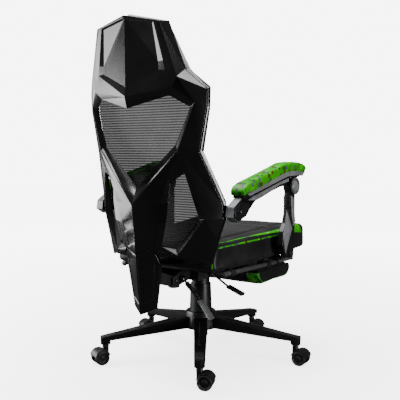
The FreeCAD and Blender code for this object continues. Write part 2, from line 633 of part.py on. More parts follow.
def mirrored(half, triangles, middle):
    """Points and triangles of both halves, sharing the points on the middle plane."""
    points = list(half)
    other = {}
    for index, point in enumerate(half):
        if index in middle:
            other[index] = index
        else:
            other[index] = len(points)
            points.append(Vector(-point.x, point.y, point.z))
    both = list(triangles) + [(other[a], other[c], other[b]) for a, b, c in triangles]
    return points, both


def back_points():
    """Corners of the back's faceted surface on the +X half, by name."""
    head = size("head_half")
    shoulder = size("shoulder_half")
    waist = size("waist_half")
    hip = size("hip_half")
    foot = size("foot_half")
    return {
        "crown": Vector(0, 404, 1119), "temple": Vector(head, 388, 1093), "jaw": Vector(166, 366.5, 935),
        "window_peak": Vector(149.6, 368.6, 906), "window_corner": Vector(200.4, 328.3, 860.5),
        "window_kink": Vector(152.1, 343.9, 724.2), "chin": Vector(0, 402, 880),
        "vee": Vector(0, 374.5, 558), "cheek": Vector(164, 329, 703),
        "lower_corner": Vector(199.2, 273.6, 517.5), "lower_foot": Vector(120.1, 303.5, 406.2),
        "lower_peak": Vector(115.1, 341.7, 641), "spine_a": Vector(85.7, 342.9, 564),
        "spine_b": Vector(72.8, 344.2, 501), "spine_c": Vector(55, 337, 421),
        "ridge_a": Vector(0, 363, 475), "ridge_b": Vector(0, 358, 407),
        "rim_top": Vector(head + 5, 350, 1099), "rim_jaw": Vector(174, 336, 958),
        "rim_shoulder": Vector(shoulder, 304, 901), "rim_upper": Vector(shoulder - 2, 303, 850),
        "rim_waist": Vector(waist, 302.6, 719), "rim_hip": Vector(hip, 236, 563),
        "rim_seat": Vector(hip + 1, 230, 518), "rim_low": Vector(hip - 21, 236, 456),
        "rim_foot": Vector(foot, 239.4, 374.6), "hem": Vector(62, 333, 408),
        "ridge_low": Vector(0, 357.5, 404.5), "tail_shoulder": Vector(53.5, 335.5, 418.5),
        "tail_top": Vector(65.5, 319.6, 378), "tail_mid": Vector(50, 315, 284), "tail_low": Vector(41, 313.6, 231),
        "tail_ridge": Vector(0, 347, 293), "tail_tip": Vector(0, 336, 211),
    }


def window_lips():
    """Front corners of the upper window's chamfer on the +X half, by the name of the rear corner."""
    return {"window_peak": Vector(131.5, 357, 883), "window_corner": Vector(181.9, 322.5, 850),
            "window_kink": Vector(135.6, 333, 740), "vee": Vector(0, 349.4, 612), "chin": Vector(0, 392, 848)}


def build_shell():
    """Rear shell with its three windows, and the spine cover that ends in the tail."""
    points = back_points()
    shell_faces = [
        ("crown", "temple", "jaw"), ("crown", "jaw", "window_peak"), ("crown", "window_peak", "chin"),
        ("temple", "rim_top", "rim_jaw"), ("temple", "rim_jaw", "jaw"),
        ("jaw", "rim_jaw", "rim_shoulder"), ("jaw", "rim_shoulder", "window_corner"),
        ("jaw", "window_corner", "window_peak"), ("window_corner", "rim_shoulder", "rim_upper"),
        ("window_corner", "rim_upper", "rim_waist"), ("window_corner", "rim_waist", "window_kink"),
        ("window_kink", "rim_waist", "cheek"), ("cheek", "rim_waist", "rim_hip"),
        ("cheek", "rim_hip", "lower_corner"), ("lower_corner", "rim_hip", "rim_seat"),
        ("lower_corner", "rim_seat", "rim_low"), ("lower_corner", "rim_low", "lower_foot"),
        ("lower_foot", "rim_low", "rim_foot"), ("lower_foot", "rim_foot", "hem"),
        ("lower_foot", "hem", "spine_c"), ("window_kink", "cheek", "lower_peak"),
    ]
    spine_faces = [
        ("window_kink", "lower_peak", "vee"), ("lower_peak", "spine_a", "vee"), ("vee", "spine_a", "spine_b"),
        ("vee", "spine_b", "ridge_a"), ("ridge_a", "spine_b", "spine_c"), ("ridge_a", "spine_c", "ridge_b"),
    ]
    tail_faces = [
        ("tail_ridge", "ridge_low", "tail_top"), ("tail_top", "tail_mid", "tail_ridge"),
        ("tail_ridge", "tail_mid", "tail_low"), ("tail_ridge", "tail_low", "tail_tip"),
        ("ridge_low", "tail_shoulder", "tail_top"),
    ]
    for label, faces, thickness in (("back_shell", shell_faces, size("shell_thick")),
                                    ("spine_cover", spine_faces, size("shell_thick")),
                                    ("tail_cover", tail_faces, size("tail_thick"))):
        names = sorted({name for face in faces for name in face})
        half = [points[name] for name in names]
        triangles = [tuple(names.index(name) for name in face) for face in faces]
        middle = {index for index, point in enumerate(half) if abs(point.x) < 1e-6}
        both, all_triangles = mirrored(half, triangles, middle)
        lips = {}
        for index, point in enumerate(both):
            for name, lip in window_lips().items():
                if name in names and (Vector(abs(point.x), point.y, point.z) - points[name]).Length < 0.01:
                    lips[index] = Vector(math.copysign(lip.x, point.x), lip.y, lip.z)
        subpart(facet_solid(label + "_facets", both, all_triangles, thickness, lips), label)


def build_frame():
    """Front frame: a closed ring behind the mesh's edge, and the mesh itself."""
    points = back_points()
    depth = size("shell_thick") + 0.5
    width = size("frame_width")
    back = Vector(0, depth, 0)
    outer_rear = [Vector(0, 398, 1118), points["rim_top"], points["rim_jaw"], points["rim_shoulder"],
                  points["rim_upper"], points["rim_waist"], points["rim_hip"], points["rim_seat"],
                  points["rim_low"], points["rim_foot"], Vector(0, 250, 356)]
    head = size("head_half")
    outer_front = [Vector(0, 376, 1130), Vector(head + 1, 342, 1103), Vector(183, 315, 959), Vector(234, 288, 910),
                   Vector(232, 288, 850), Vector(207, 285, 721), Vector(246, 220, 569), Vector(247, 220, 518),
                   Vector(225, 222, 456), Vector(200, 224, 374), Vector(0, 228, 352)]
    inward = [Vector(0, 0, -1), Vector(-0.8, 0, -1), Vector(-1, 0, 0), Vector(-1, 0, -0.6), Vector(-1, 0, 0),
              Vector(-1, 0, 0), Vector(-1, 0, 0), Vector(-1, 0, 0), Vector(-1, 0, 0.1), Vector(-0.9, 0, 1),
              Vector(0, 0, 1)]
    rings = []
    for index in range(len(outer_rear)):
        step = inward[index] * width
        rear = outer_rear[index] - back
        front = outer_front[index]
        rings.append([rear, front, front + step, rear + step])
    count = len(rings)
    closed = rings + [[Vector(-point.x, point.y, point.z) for point in rings[index]]
                      for index in range(count - 2, 0, -1)]
    faces = []
    for index, ring in enumerate(closed):
        after = closed[(index + 1) % len(closed)]
        for corner in range(4):
            near = ring[corner]
            next_near = ring[(corner + 1) % 4]
            far = after[corner]
            next_far = after[(corner + 1) % 4]
            faces.append(Part.Face(Part.makePolygon([near, next_near, next_far, near])))
            faces.append(Part.Face(Part.makePolygon([near, next_far, far, near])))
    subpart(sewn("ring", faces), "back_frame")

    rows = []
    for ring in rings[1:-1]:
        inner, inner_rear = ring[2], ring[3]
        lean = min(0.0, inner_rear.x - inner.x) * 2.0 / (inner_rear.y - inner.y)
        rows.append((inner.x + lean - 0.8, inner.y + 2.0, inner.z))
    rows[0] = (rings[1][2].x - 3, 346, rings[1][2].z - 5)
    half = []
    for half_width, y, z in rows:
        half.append(Vector(0, y, z))
        half.append(Vector(half_width, y, z))
    half[0] = Vector(0, 377, 1102)
    half[-2] = Vector(0, 230, 378)
    triangles = []
    for index in range(len(rows) - 1):
        a, b, c, d = 2 * index, 2 * index + 1, 2 * index + 3, 2 * index + 2
        triangles.append((a, b, c))
        triangles.append((a, c, d))
    middle = {2 * index for index in range(len(rows))}
    both, all_triangles = mirrored(half, triangles, middle)
    subpart(facet_solid("mesh_panel", both, all_triangles, size("mesh_thick"), {}), "back_mesh")


def build_back_support():
    """Steel bracket inside the tail that carries the back on the recline hinge, and its spacers."""
    outline = [("hinge_y - 16", "hinge_z - 12"), ("hinge_y - 16", "hinge_z + 12"), ("hinge_y + 12", "hinge_z + 20"),
               ("292", "348"), ("296", "520"), ("306", "520"), ("306", "310"), ("hinge_y + 12", "hinge_z - 16")]
    pieces = []
    for name, side in SIDES.items():
        low, high = sided(side, "bracket_inner", "bracket_inner + bracket_plate")
        pieces.append(plate("lug_" + name, outline, low, high))
    pieces.append(box("bracket_web", "2 * bracket_inner + 2", "6", "178", "-bracket_inner - 1", "300", "342"))
    eye = across("lug_eye", "pin_radius + 0.08", "-50", "50", "hinge_y", "hinge_z")
    subpart(cut("support", fuse("support_solid", pieces), [eye]), "back_bracket")

    posts = []
    for number, (x, z, reach) in enumerate(((-16, 500, 43.4), (16, 500, 43.4), (-16, 440, 40.2), (16, 440, 40.2)), start=1):
        posts.append(cylinder("post_%d" % number, "7", str(reach), x, 306.1, z, about((1, 0, 0), -90)))
    subpart(group("posts", posts), "bracket_spacers")


def write_parts():
    """Check every object and export each sub-part."""
    doc.recompute()
    failed = [item.Name for item in doc.Objects if "Invalid" in item.State or "Error" in item.State]
    if failed:
        raise RuntimeError("failed objects: " + ", ".join(failed))
    for item in subparts:
        if item.Shape.isNull() or not item.Shape.isValid():
            raise RuntimeError("bad shape: " + item.Label)
    os.makedirs("parts", exist_ok=True)
    for item in subparts:
        item.Shape.exportStep("parts/%s.step" % item.Label)
        bounds = item.Shape.BoundBox
        print("%-26s %8.1f cm3  x %6.1f %6.1f  y %6.1f %6.1f  z %6.1f %6.1f  solids %d" % (
            item.Label, item.Shape.Volume / 1000, bounds.XMin, bounds.XMax, bounds.YMin, bounds.YMax,
            bounds.ZMin, bounds.ZMax, len(item.Shape.Solids)))


build_base()
build_castors()
build_lift()
build_mechanism()
build_seat()
build_levers()
build_footrest()
build_armrests()
build_shell()
build_frame()
build_back_support()
write_parts()
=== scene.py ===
"""Looks of a gaming chair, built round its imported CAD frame.

Lengths are in metres. +Z is up, the sitter faces -Y and +X is the sitter's left.
"""

import json
import logging
import math
from dataclasses import dataclass, field
from enum import Enum

import bmesh
import bpy
from mathutils import Matrix, Vector


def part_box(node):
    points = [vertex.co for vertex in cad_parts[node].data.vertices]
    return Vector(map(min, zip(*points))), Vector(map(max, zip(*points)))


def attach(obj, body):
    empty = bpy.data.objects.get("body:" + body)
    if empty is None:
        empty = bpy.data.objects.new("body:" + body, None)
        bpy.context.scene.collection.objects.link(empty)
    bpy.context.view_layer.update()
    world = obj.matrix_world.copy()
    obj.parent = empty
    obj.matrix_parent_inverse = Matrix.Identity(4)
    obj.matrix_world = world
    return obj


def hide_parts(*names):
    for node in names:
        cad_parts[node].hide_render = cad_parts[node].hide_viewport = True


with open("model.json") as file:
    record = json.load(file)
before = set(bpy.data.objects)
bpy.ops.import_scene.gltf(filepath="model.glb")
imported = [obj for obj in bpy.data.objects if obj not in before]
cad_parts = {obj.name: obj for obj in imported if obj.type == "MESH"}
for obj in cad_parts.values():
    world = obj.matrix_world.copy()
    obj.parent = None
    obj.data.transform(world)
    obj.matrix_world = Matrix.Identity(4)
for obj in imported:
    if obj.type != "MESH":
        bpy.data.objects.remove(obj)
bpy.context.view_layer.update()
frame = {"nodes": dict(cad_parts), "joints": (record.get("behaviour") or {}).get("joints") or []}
log = logging.getLogger("chair")
MM = 0.001


# ---------------------------------------------------------------- materials


def linear(code: str) -> tuple[float, float, float, float]:
    """Turns an sRGB hex colour into linear values.

    Args:
        code: six hex digits, with a leading #.

    Returns:
        Red, green, blue and an alpha of 1.
    """
    values = [int(code[index:index + 2], 16) / 255 for index in (1, 3, 5)]
    return tuple(v / 12.92 if v <= 0.04045 else ((v + 0.055) / 1.055) ** 2.4 for v in values) + (1.0,)


def add_node(tree: bpy.types.NodeTree, kind: str, inputs: dict | None = None, **settings) -> bpy.types.Node:
    """Adds a shader node with its settings and links.

    Args:
        tree: the node tree.
        kind: the node's type name.
        inputs: input name or number to a value, or to an output socket that is linked to it.
        **settings: the node's own properties.

    Returns:
        The node.
    """
    node = tree.nodes.new(kind)
    for name, value in settings.items():
        setattr(node, name, value)
    for name, value in (inputs or {}).items():
        if isinstance(value, bpy.types.NodeSocket):
            tree.links.new(value, node.inputs[name])
        else:
            node.inputs[name].default_value = value
    return node


def ramp(tree: bpy.types.NodeTree, source: bpy.types.NodeSocket, stops: list[tuple[float, str]],
         constant: bool = False) -> bpy.types.NodeSocket:
    """Adds a colour ramp.

    Args:
        tree: the node tree.
        source: the value that drives it.
        stops: position and hex colour of each stop.
        constant: True for steps, False for a smooth change.

    Returns:
        The ramp's colour output.
    """
    node = add_node(tree, "ShaderNodeValToRGB", {"Fac": source})
    node.color_ramp.interpolation = "CONSTANT" if constant else "LINEAR"
    while len(node.color_ramp.elements) < len(stops):
        node.color_ramp.elements.new(0.5)
    for element, (place, code) in zip(node.color_ramp.elements, stops):
        element.position = place
        element.color = linear(code)
    return node.outputs["Color"]


@dataclass(frozen=True)
class Finish:
    """A finish: its name, the record's slot it belongs to, and the values every finish has."""

    name: str
    slot: str
    colour: str
    light: str
    roughness: float
    patch_mm: float = 60.0

    def start(self) -> tuple[bpy.types.Material, bpy.types.NodeTree, bpy.types.Node, bpy.types.Node]:
        """Makes an empty material.

        Returns:
            The material, its tree, its shader and its coordinates.
        """
        material = bpy.data.materials.new(self.name)
        material.use_nodes = True
        tree = material.node_tree
        tree.nodes.clear()
        output = add_node(tree, "ShaderNodeOutputMaterial")
        shader = add_node(tree, "ShaderNodeBsdfPrincipled", {"Roughness": self.roughness})
        tree.links.new(shader.outputs["BSDF"], output.inputs["Surface"])
        place = add_node(tree, "ShaderNodeTexCoord")
        return material, tree, shader, place

    def cloudy(self, tree: bpy.types.NodeTree, place: bpy.types.Node, shader: bpy.types.Node) -> None:
        """Gives a slow change of colour and roughness across the surface.

        Args:
            tree: the material's tree.
            place: its coordinates.
            shader: its shader.
        """
        cloud = add_node(tree, "ShaderNodeTexNoise", {"Vector": place.outputs["Object"],
                                                      "Scale": 1 / (self.patch_mm * MM), "Detail": 3.0})
        colour = ramp(tree, cloud.outputs["Fac"], [(0.35, self.colour), (0.7, self.light)])
        tree.links.new(colour, shader.inputs["Base Color"])
        worn = add_node(tree, "ShaderNodeMapRange", {"Value": cloud.outputs["Fac"], "From Min": 0.3,
                                                     "From Max": 0.7, "To Min": self.roughness * 0.88,
                                                     "To Max": self.roughness * 1.15})
        tree.links.new(worn.outputs["Result"], shader.inputs["Roughness"])

    def build(self) -> bpy.types.Material:
        """Builds the material."""
        raise NotImplementedError


@dataclass(frozen=True)
class MouldedPlastic(Finish):
    """Injection-moulded ABS or nylon: a fine spark-eroded grain that breaks up its highlights."""

    grain_mm: float = 1.2
    grain_depth_mm: float = 0.02
    coat: float = 0.0

    def build(self) -> bpy.types.Material:
        """Builds the material."""
        material, tree, shader, place = self.start()
        self.cloudy(tree, place, shader)
        grain = add_node(tree, "ShaderNodeTexNoise", {"Vector": place.outputs["Object"],
                                                      "Scale": 1 / (self.grain_mm * MM), "Detail": 2.0})
        bump = add_node(tree, "ShaderNodeBump", {"Height": grain.outputs["Fac"], "Strength": 0.35,
                                                 "Distance": self.grain_depth_mm * MM})
        tree.links.new(bump.outputs["Normal"], shader.inputs["Normal"])
        shader.inputs["IOR"].default_value = 1.5
        shader.inputs["Coat Weight"].default_value = self.coat
        shader.inputs["Coat Roughness"].default_value = 0.12
        return material


@dataclass(frozen=True)
class Metal(Finish):
    """Steel or metallic paint, with fine drawn lines along the part."""

    metallic: float = 1.0
    line_mm: float = 0.6
    stretch: tuple[float, float, float] = (1.0, 0.05, 1.0)

    def build(self) -> bpy.types.Material:
        """Builds the material."""
        material, tree, shader, place = self.start()
        self.cloudy(tree, place, shader)
        drawn = add_node(tree, "ShaderNodeMapping",
                         {"Vector": place.outputs["Object"], "Scale": self.stretch})
        lines = add_node(tree, "ShaderNodeTexNoise", {"Vector": drawn.outputs["Vector"],
                                                      "Scale": 1 / (self.line_mm * MM), "Detail": 2.0})
        bump = add_node(tree, "ShaderNodeBump", {"Height": lines.outputs["Fac"], "Strength": 0.2,
                                                 "Distance": 0.02 * MM})
        tree.links.new(bump.outputs["Normal"], shader.inputs["Normal"])
        shader.inputs["Metallic"].default_value = self.metallic
        return material


@dataclass(frozen=True)
class Leather(Finish):
    """Polyurethane leather: pebbled grain over soft creases, with a dull sheen."""

    grain_mm: float = 2.2
    crease_mm: float = 28.0

    def build(self) -> bpy.types.Material:
        """Builds the material."""
        material, tree, shader, place = self.start()
        self.cloudy(tree, place, shader)
        pebble = add_node(tree, "ShaderNodeTexVoronoi", {"Vector": place.outputs["Object"],
                                                         "Scale": 1 / (self.grain_mm * MM)},
                          feature="DISTANCE_TO_EDGE")
        crease = add_node(tree, "ShaderNodeTexNoise", {"Vector": place.outputs["Object"],
                                                       "Scale": 1 / (self.crease_mm * MM), "Detail": 4.0})
        soft = add_node(tree, "ShaderNodeBump", {"Height": crease.outputs["Fac"], "Strength": 0.5,
                                                 "Distance": 1.6 * MM})
        bump = add_node(tree, "ShaderNodeBump", {"Height": pebble.outputs["Distance"], "Strength": 0.6,
                                                 "Distance": 0.12 * MM, "Normal": soft.outputs["Normal"]})
        tree.links.new(bump.outputs["Normal"], shader.inputs["Normal"])
        shader.inputs["Sheen Weight"].default_value = 0.06
        shader.inputs["Specular IOR Level"].default_value = 0.35
        shader.inputs["Sheen Roughness"].default_value = 0.4
        return material


@dataclass(frozen=True)
class MosaicPrint(Finish):
    """Leather printed with small random squares: greens, with a few dark, rust and mauve ones."""

    tile_mm: float = 12.0
    palette: tuple[str, ...] = ("#2B9A00", "#259200", "#0F6200", "#2F9E00", "#2B9A00", "#521A08", "#37A600",
                                "#289600", "#1F8800", "#544C5E", "#30A000", "#55B81C", "#2B9A00", "#279400",
                                "#155602", "#2E9C00")

    def build(self) -> bpy.types.Material:
        """Builds the material."""
        material, tree, shader, place = self.start()
        tiles = add_node(tree, "ShaderNodeVectorMath", {0: place.outputs["UV"],
                                                        1: (self.tile_mm * MM,) * 3}, operation="SNAP")
        chance = add_node(tree, "ShaderNodeTexWhiteNoise", {"Vector": tiles.outputs["Vector"]},
                          noise_dimensions="2D")
        count = len(self.palette)
        stops = [(index / count, code) for index, code in enumerate(self.palette)]
        colour = ramp(tree, chance.outputs["Value"], stops, constant=True)
        tree.links.new(colour, shader.inputs["Base Color"])
        pebble = add_node(tree, "ShaderNodeTexVoronoi", {"Vector": place.outputs["Object"], "Scale": 500.0},
                          feature="DISTANCE_TO_EDGE")
        bump = add_node(tree, "ShaderNodeBump", {"Height": pebble.outputs["Distance"], "Strength": 0.5,
                                                 "Distance": 0.1 * MM})
        tree.links.new(bump.outputs["Normal"], shader.inputs["Normal"])
        shader.inputs["Specular IOR Level"].default_value = 0.25
        return material


@dataclass(frozen=True)
class OpenKnit(Finish):
    """Open-knit seating mesh: level ribs with see-through gaps between their cross threads."""

    rib_mm: float = 8.0
    thread_mm: float = 4.0

    def build(self) -> bpy.types.Material:
        """Builds the material."""
        material, tree, shader, place = self.start()
        self.cloudy(tree, place, shader)
        axes = add_node(tree, "ShaderNodeSeparateXYZ", {"Vector": place.outputs["Object"]})
        waves = []
        for axis, pitch in (("Z", self.rib_mm), ("X", self.thread_mm)):
            turns = add_node(tree, "ShaderNodeMath", {0: axes.outputs[axis], 1: 2 * math.pi / (pitch * MM)},
                             operation="MULTIPLY")
            waves.append(add_node(tree, "ShaderNodeMath", {0: turns.outputs[0]}, operation="SINE").outputs[0])
        ribs = add_node(tree, "ShaderNodeMapRange", {"Value": waves[0], "From Min": -0.6, "From Max": 0.6,
                                                     "To Min": 0.82, "To Max": 0.915})
        threads = add_node(tree, "ShaderNodeMapRange", {"Value": waves[1], "From Min": -0.2, "From Max": 0.6,
                                                        "To Min": 0.0, "To Max": 0.03})
        cover = add_node(tree, "ShaderNodeMath", {0: ribs.outputs[0], 1: threads.outputs[0]}, operation="ADD",
                         use_clamp=True)
        tree.links.new(cover.outputs[0], shader.inputs["Alpha"])
        bump = add_node(tree, "ShaderNodeBump", {"Height": waves[0], "Strength": 0.7, "Distance": 0.8 * MM})
        tree.links.new(bump.outputs["Normal"], shader.inputs["Normal"])
        shader.inputs["Sheen Weight"].default_value = 0.3
        return material


class Look(Enum):
    """Every finish on the chair."""

    SHELL = MouldedPlastic("satin_black_abs", "black_plastic",
                           "#060607", "#0C0C0D", 0.24, 90.0, 3.0, 0.02, 0.2)
    SHELL_PANEL = MouldedPlastic("matt_black_abs", "black_plastic",
                                 "#08080A", "#101011", 0.4, 70.0, 2.0, 0.04)
    BASE = MouldedPlastic("glass_filled_nylon", "base_plastic", "#0A0A0B", "#121213", 0.32, 50.0, 1.6, 0.03)
    DARK = MouldedPlastic("matt_black_nylon", "dark_plastic", "#08080A", "#111112", 0.38, 40.0, 1.6, 0.03)
    TYRE = MouldedPlastic("castor_tyre_polyurethane", "tyre_grey",
                          "#141416", "#1E1E20", 0.48, 30.0, 1.5, 0.03)
    # Silver: real painted trim on the arm tray and strut diamond, and also painted highlights on the arm and
    # strut side strips and the knob face.
    SILVER = Metal("silver_trim_and_painted_highlight", "silver_trim", "#8E9092", "#A9ABAD", 0.36, 50.0, 0.55)
    SILVER_DULL = Metal("grey_painted_trim", "silver_trim", "#5C5E60", "#737577", 0.42, 50.0, 0.45)
    GREY_TUBE = Metal("grey_powder_coat", "grey_steel", "#4A4B4D", "#5A5B5D", 0.4, 40.0, 0.4)
    STEEL = Metal("bright_drawn_steel", "bright_steel", "#B9BBBD", "#D0D2D4", 0.24, 40.0, 1.0)
    DARK_STEEL = Metal("black_powder_coat", "dark_steel",
                       "#161617", "#242426", 0.5, 40.0, 0.0, 1.2, (1, 1, 1))
    LEATHER = Leather("black_pu_leather", "seat_leather", "#0A0A0B", "#131314", 0.5, 80.0)
    MOSAIC = MosaicPrint("mosaic_printed_leather", "pad_leather", "#55C31A", "#8FE03A", 0.45)
    KNIT = OpenKnit("open_knit_mesh", "mesh", "#0A0A0B", "#131315", 0.7, 60.0)
    DUST_COVER = Leather("black_dust_cover", "plywood", "#0E0E0F", "#19191A", 0.8, 50.0, 3.0, 40.0)


MATERIALS: dict[Look, bpy.types.Material] = {}


def material_of(look: Look) -> bpy.types.Material:
    """Gives a finish's material, made once."""
    if look not in MATERIALS:
        MATERIALS[look] = look.value.build()
    return MATERIALS[look]


# ---------------------------------------------------------------- mesh helpers


def dress(node: str, look: Look) -> None:
    """Gives a CAD node its finish.

    Args:
        node: the node's name.
        look: the finish.
    """
    mesh = frame["nodes"][node].data
    mesh.materials.clear()
    mesh.materials.append(material_of(look))
    log.info("dressed %s", node)


def piece(name: str, bm: bmesh.types.BMesh, look: Look, body: str, smooth: bool = True) -> bpy.types.Object:
    """Makes an object of a bmesh, which it frees.

    Args:
        name: the piece's name.
        bm: its mesh.
        look: its finish.
        body: the body it rides on.
        smooth: True for smooth shading.

    Returns:
        The object.
    """
    mesh = bpy.data.meshes.new(name)
    bm.to_mesh(mesh)
    bm.free()
    for face in mesh.polygons:
        face.use_smooth = smooth
    mesh.materials.append(material_of(look))
    made = bpy.data.objects.new(name, mesh)
    bpy.context.scene.collection.objects.link(made)
    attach(made, body)
    log.info("built %s", name)
    return made


def merged(node: str) -> bmesh.types.BMesh:
    """Gives a CAD node's mesh with its loose triangles joined into flat faces.

    Args:
        node: the node's name.

    Returns:
        A new bmesh.
    """
    bm = bmesh.new()
    bm.from_mesh(frame["nodes"][node].data)
    bmesh.ops.remove_doubles(bm, verts=bm.verts, dist=0.01 * MM)
    bmesh.ops.dissolve_limit(bm, angle_limit=math.radians(0.6), verts=bm.verts, edges=bm.edges)
    bm.normal_update()
    return bm


def bevelled(target: bpy.types.Object, width_mm: float, segments: int = 3, angle: float = 12.0) -> None:
    """Rounds an object's edges.

    Args:
        target: the object.
        width_mm: the bevel's width.
        segments: its segments.
        angle: edges flatter than this many degrees stay.
    """
    bevel = target.modifiers.new("rounded", "BEVEL")
    bevel.width = width_mm * MM
    bevel.segments = segments
    bevel.limit_method = "ANGLE"
    bevel.angle_limit = math.radians(angle)
    bevel.harden_normals = True
    bevel.miter_outer = "MITER_ARC"


def apply_modifiers(target: bpy.types.Object) -> None:
    """Applies an object's modifiers to its mesh."""
    graph = bpy.context.evaluated_depsgraph_get()
    mesh = bpy.data.meshes.new_from_object(target.evaluated_get(graph))
    old = target.data
    target.modifiers.clear()
    target.data = mesh
    bpy.data.meshes.remove(old)


def overlap_2d(face: bmesh.types.BMFace, outline: list[Vector]) -> bool:
    """Tells if a face's box overlaps an outline's box, seen along Y."""
    for axis, other in ((0, 0), (2, 1)):
        values = [vert.co[axis] for vert in face.verts]
        limits = [point[other] for point in outline]
        if max(values) < min(limits) or min(values) > max(limits):
            return False
    return True


def inside_2d(point: Vector, outline: list[Vector]) -> bool:
    """Tells if a point lies inside a convex outline of (x, z), seen along Y."""
    signs = []
    for index, start in enumerate(outline):
        end = outline[(index + 1) % len(outline)]
        signs.append((end.x - start.x) * (point.z - start.y) - (end.y - start.y) * (point.x - start.x))
    return all(sign > 0 for sign in signs) or all(sign < 0 for sign in signs)


def carve(bm: bmesh.types.BMesh, outline_mm: list[tuple[float, float]], width_mm: float, depth_mm: float,
          side: int = 1) -> list[bmesh.types.BMFace]:
    """Cuts an outline into the faces that look along +Y (or -Y) and sinks or raises what is inside.

    Args:
        bm: the mesh.
        outline_mm: a convex outline of (x, z).
        width_mm: width of the sloping border.
        depth_mm: how far the inside moves out (negative is in).
        side: 1 for faces that look along +Y, -1 for -Y.

    Returns:
        The faces inside.
    """
    outline = [Vector((x * MM, z * MM)) for x, z in outline_mm]
    for index, start in enumerate(outline):
        end = outline[(index + 1) % len(outline)]
        along = end - start
        faces = [face for face in bm.faces if face.normal.y * side > 0.2 and overlap_2d(face, outline)]
        geometry = set(faces)
        for face in faces:
            geometry.update(face.edges)
            geometry.update(face.verts)
        bmesh.ops.bisect_plane(bm, geom=list(geometry), dist=0.001 * MM, plane_co=(start.x, 0, start.y),
                               plane_no=Vector((along.y, 0, -along.x)).normalized())
    inside = [face for face in bm.faces
              if face.normal.y * side > 0.2 and inside_2d(face.calc_center_median(), outline)]
    bmesh.ops.inset_region(bm, faces=inside, thickness=width_mm * MM, depth=depth_mm * MM,
                           use_even_offset=True, use_boundary=True)
    bm.normal_update()
    return inside


def rod(bm: bmesh.types.BMesh, start: Vector, end: Vector, radius: float, end_radius: float | None = None,
        segments: int = 24, round_mm: float = 0.0) -> list[bmesh.types.BMVert]:
    """Adds a round bar between two points.

    Args:
        bm: the mesh.
        start: the first end's centre.
        end: the second end's centre.
        radius: the first end's radius.
        end_radius: the second end's radius, or None for the same.
        segments: sides of the bar.
        round_mm: rounding of its end edges.

    Returns:
        Its vertices.
    """
    reach = end - start
    turn = Vector((0, 0, 1)).rotation_difference(reach).to_matrix().to_4x4()
    place = Matrix.Translation((start + end) / 2) @ turn
    made = bmesh.ops.create_cone(bm, cap_ends=True, segments=segments, radius1=radius,
                                 radius2=radius if end_radius is None else end_radius, depth=reach.length,
                                 matrix=place)
    verts = made["verts"]
    if round_mm:
        edges = {edge for vert in verts for edge in vert.link_edges
                 if any(len(face.verts) > 4 for face in edge.link_faces)}
        result = bmesh.ops.bevel(bm, geom=list(edges), offset=round_mm * MM, segments=3, profile=0.5,
                                 affect="EDGES", material=-1)
        verts = result["verts"]
    return verts


def moulded(name: str, node: str, look: Look, body: str, width_mm: float, segments: int,
            angle: float) -> bpy.types.Object:
    """Makes a copy of a CAD node with rounded edges, which takes the node's place.

    Args:
        name: the piece's name.
        node: the CAD node.
        look: its finish.
        body: the body it rides on.
        width_mm: width of the rounding.
        segments: segments of the rounding.
        angle: edges flatter than this many degrees stay.

    Returns:
        The piece.
    """
    made = piece(name, merged(node), look, body)
    bevelled(made, width_mm, segments, angle)
    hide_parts(node)
    return made


def turned(bm: bmesh.types.BMesh, centre: Vector, axis: Vector, profile: list[tuple[float, float]]) -> None:
    """Spins a profile about an axis.

    Args:
        bm: the mesh.
        centre: a point on the axis.
        axis: its direction.
        profile: (distance along the axis, radius) of each point.
    """
    side = axis.cross(Vector((0, 0, 1))).normalized()
    verts = [bm.verts.new(centre + axis * along + side * radius) for along, radius in profile]
    edges = [bm.edges.new(pair) for pair in zip(verts, verts[1:])]
    bmesh.ops.spin(bm, geom=verts + edges, cent=centre, axis=axis, angle=2 * math.pi, steps=40,
                   use_merge=True, use_duplicate=False)
    bmesh.ops.remove_doubles(bm, verts=bm.verts, dist=0.02 * MM)
    bmesh.ops.recalc_face_normals(bm, faces=bm.faces)


def slab(bm: bmesh.types.BMesh, outline: list[tuple[float, float]], low_x: float, high_x: float) -> None:
    """Adds a plate extruded along X.

    Args:
        bm: the mesh.
        outline: corners as (y, z), in metres.
        low_x: its low side.
        high_x: its high side.
    """
    face = bm.faces.new([bm.verts.new((low_x, y, z)) for y, z in outline])
    grown = bmesh.ops.extrude_face_region(bm, geom=[face])["geom"]
    moved = [item for item in grown if isinstance(item, bmesh.types.BMVert)]
    bmesh.ops.translate(bm, verts=moved, vec=(high_x - low_x, 0, 0))
    bmesh.ops.recalc_face_normals(bm, faces=bm.faces)


def box_uv(target: bpy.types.Object) -> None:
    """Lays a UV map in metres over an object, from the side that each face looks to."""
    mesh = target.data
    layer = mesh.uv_layers.new(name="cloth")
    for face in mesh.polygons:
        normal = face.normal
        axis = max(range(3), key=lambda index: abs(normal[index]))
        first, second = [(1, 2), (0, 2), (0, 1)][axis]
        for corner in face.loop_indices:
            place = mesh.vertices[mesh.loops[corner].vertex_index].co
            layer.data[corner].uv = (place[first], place[second])


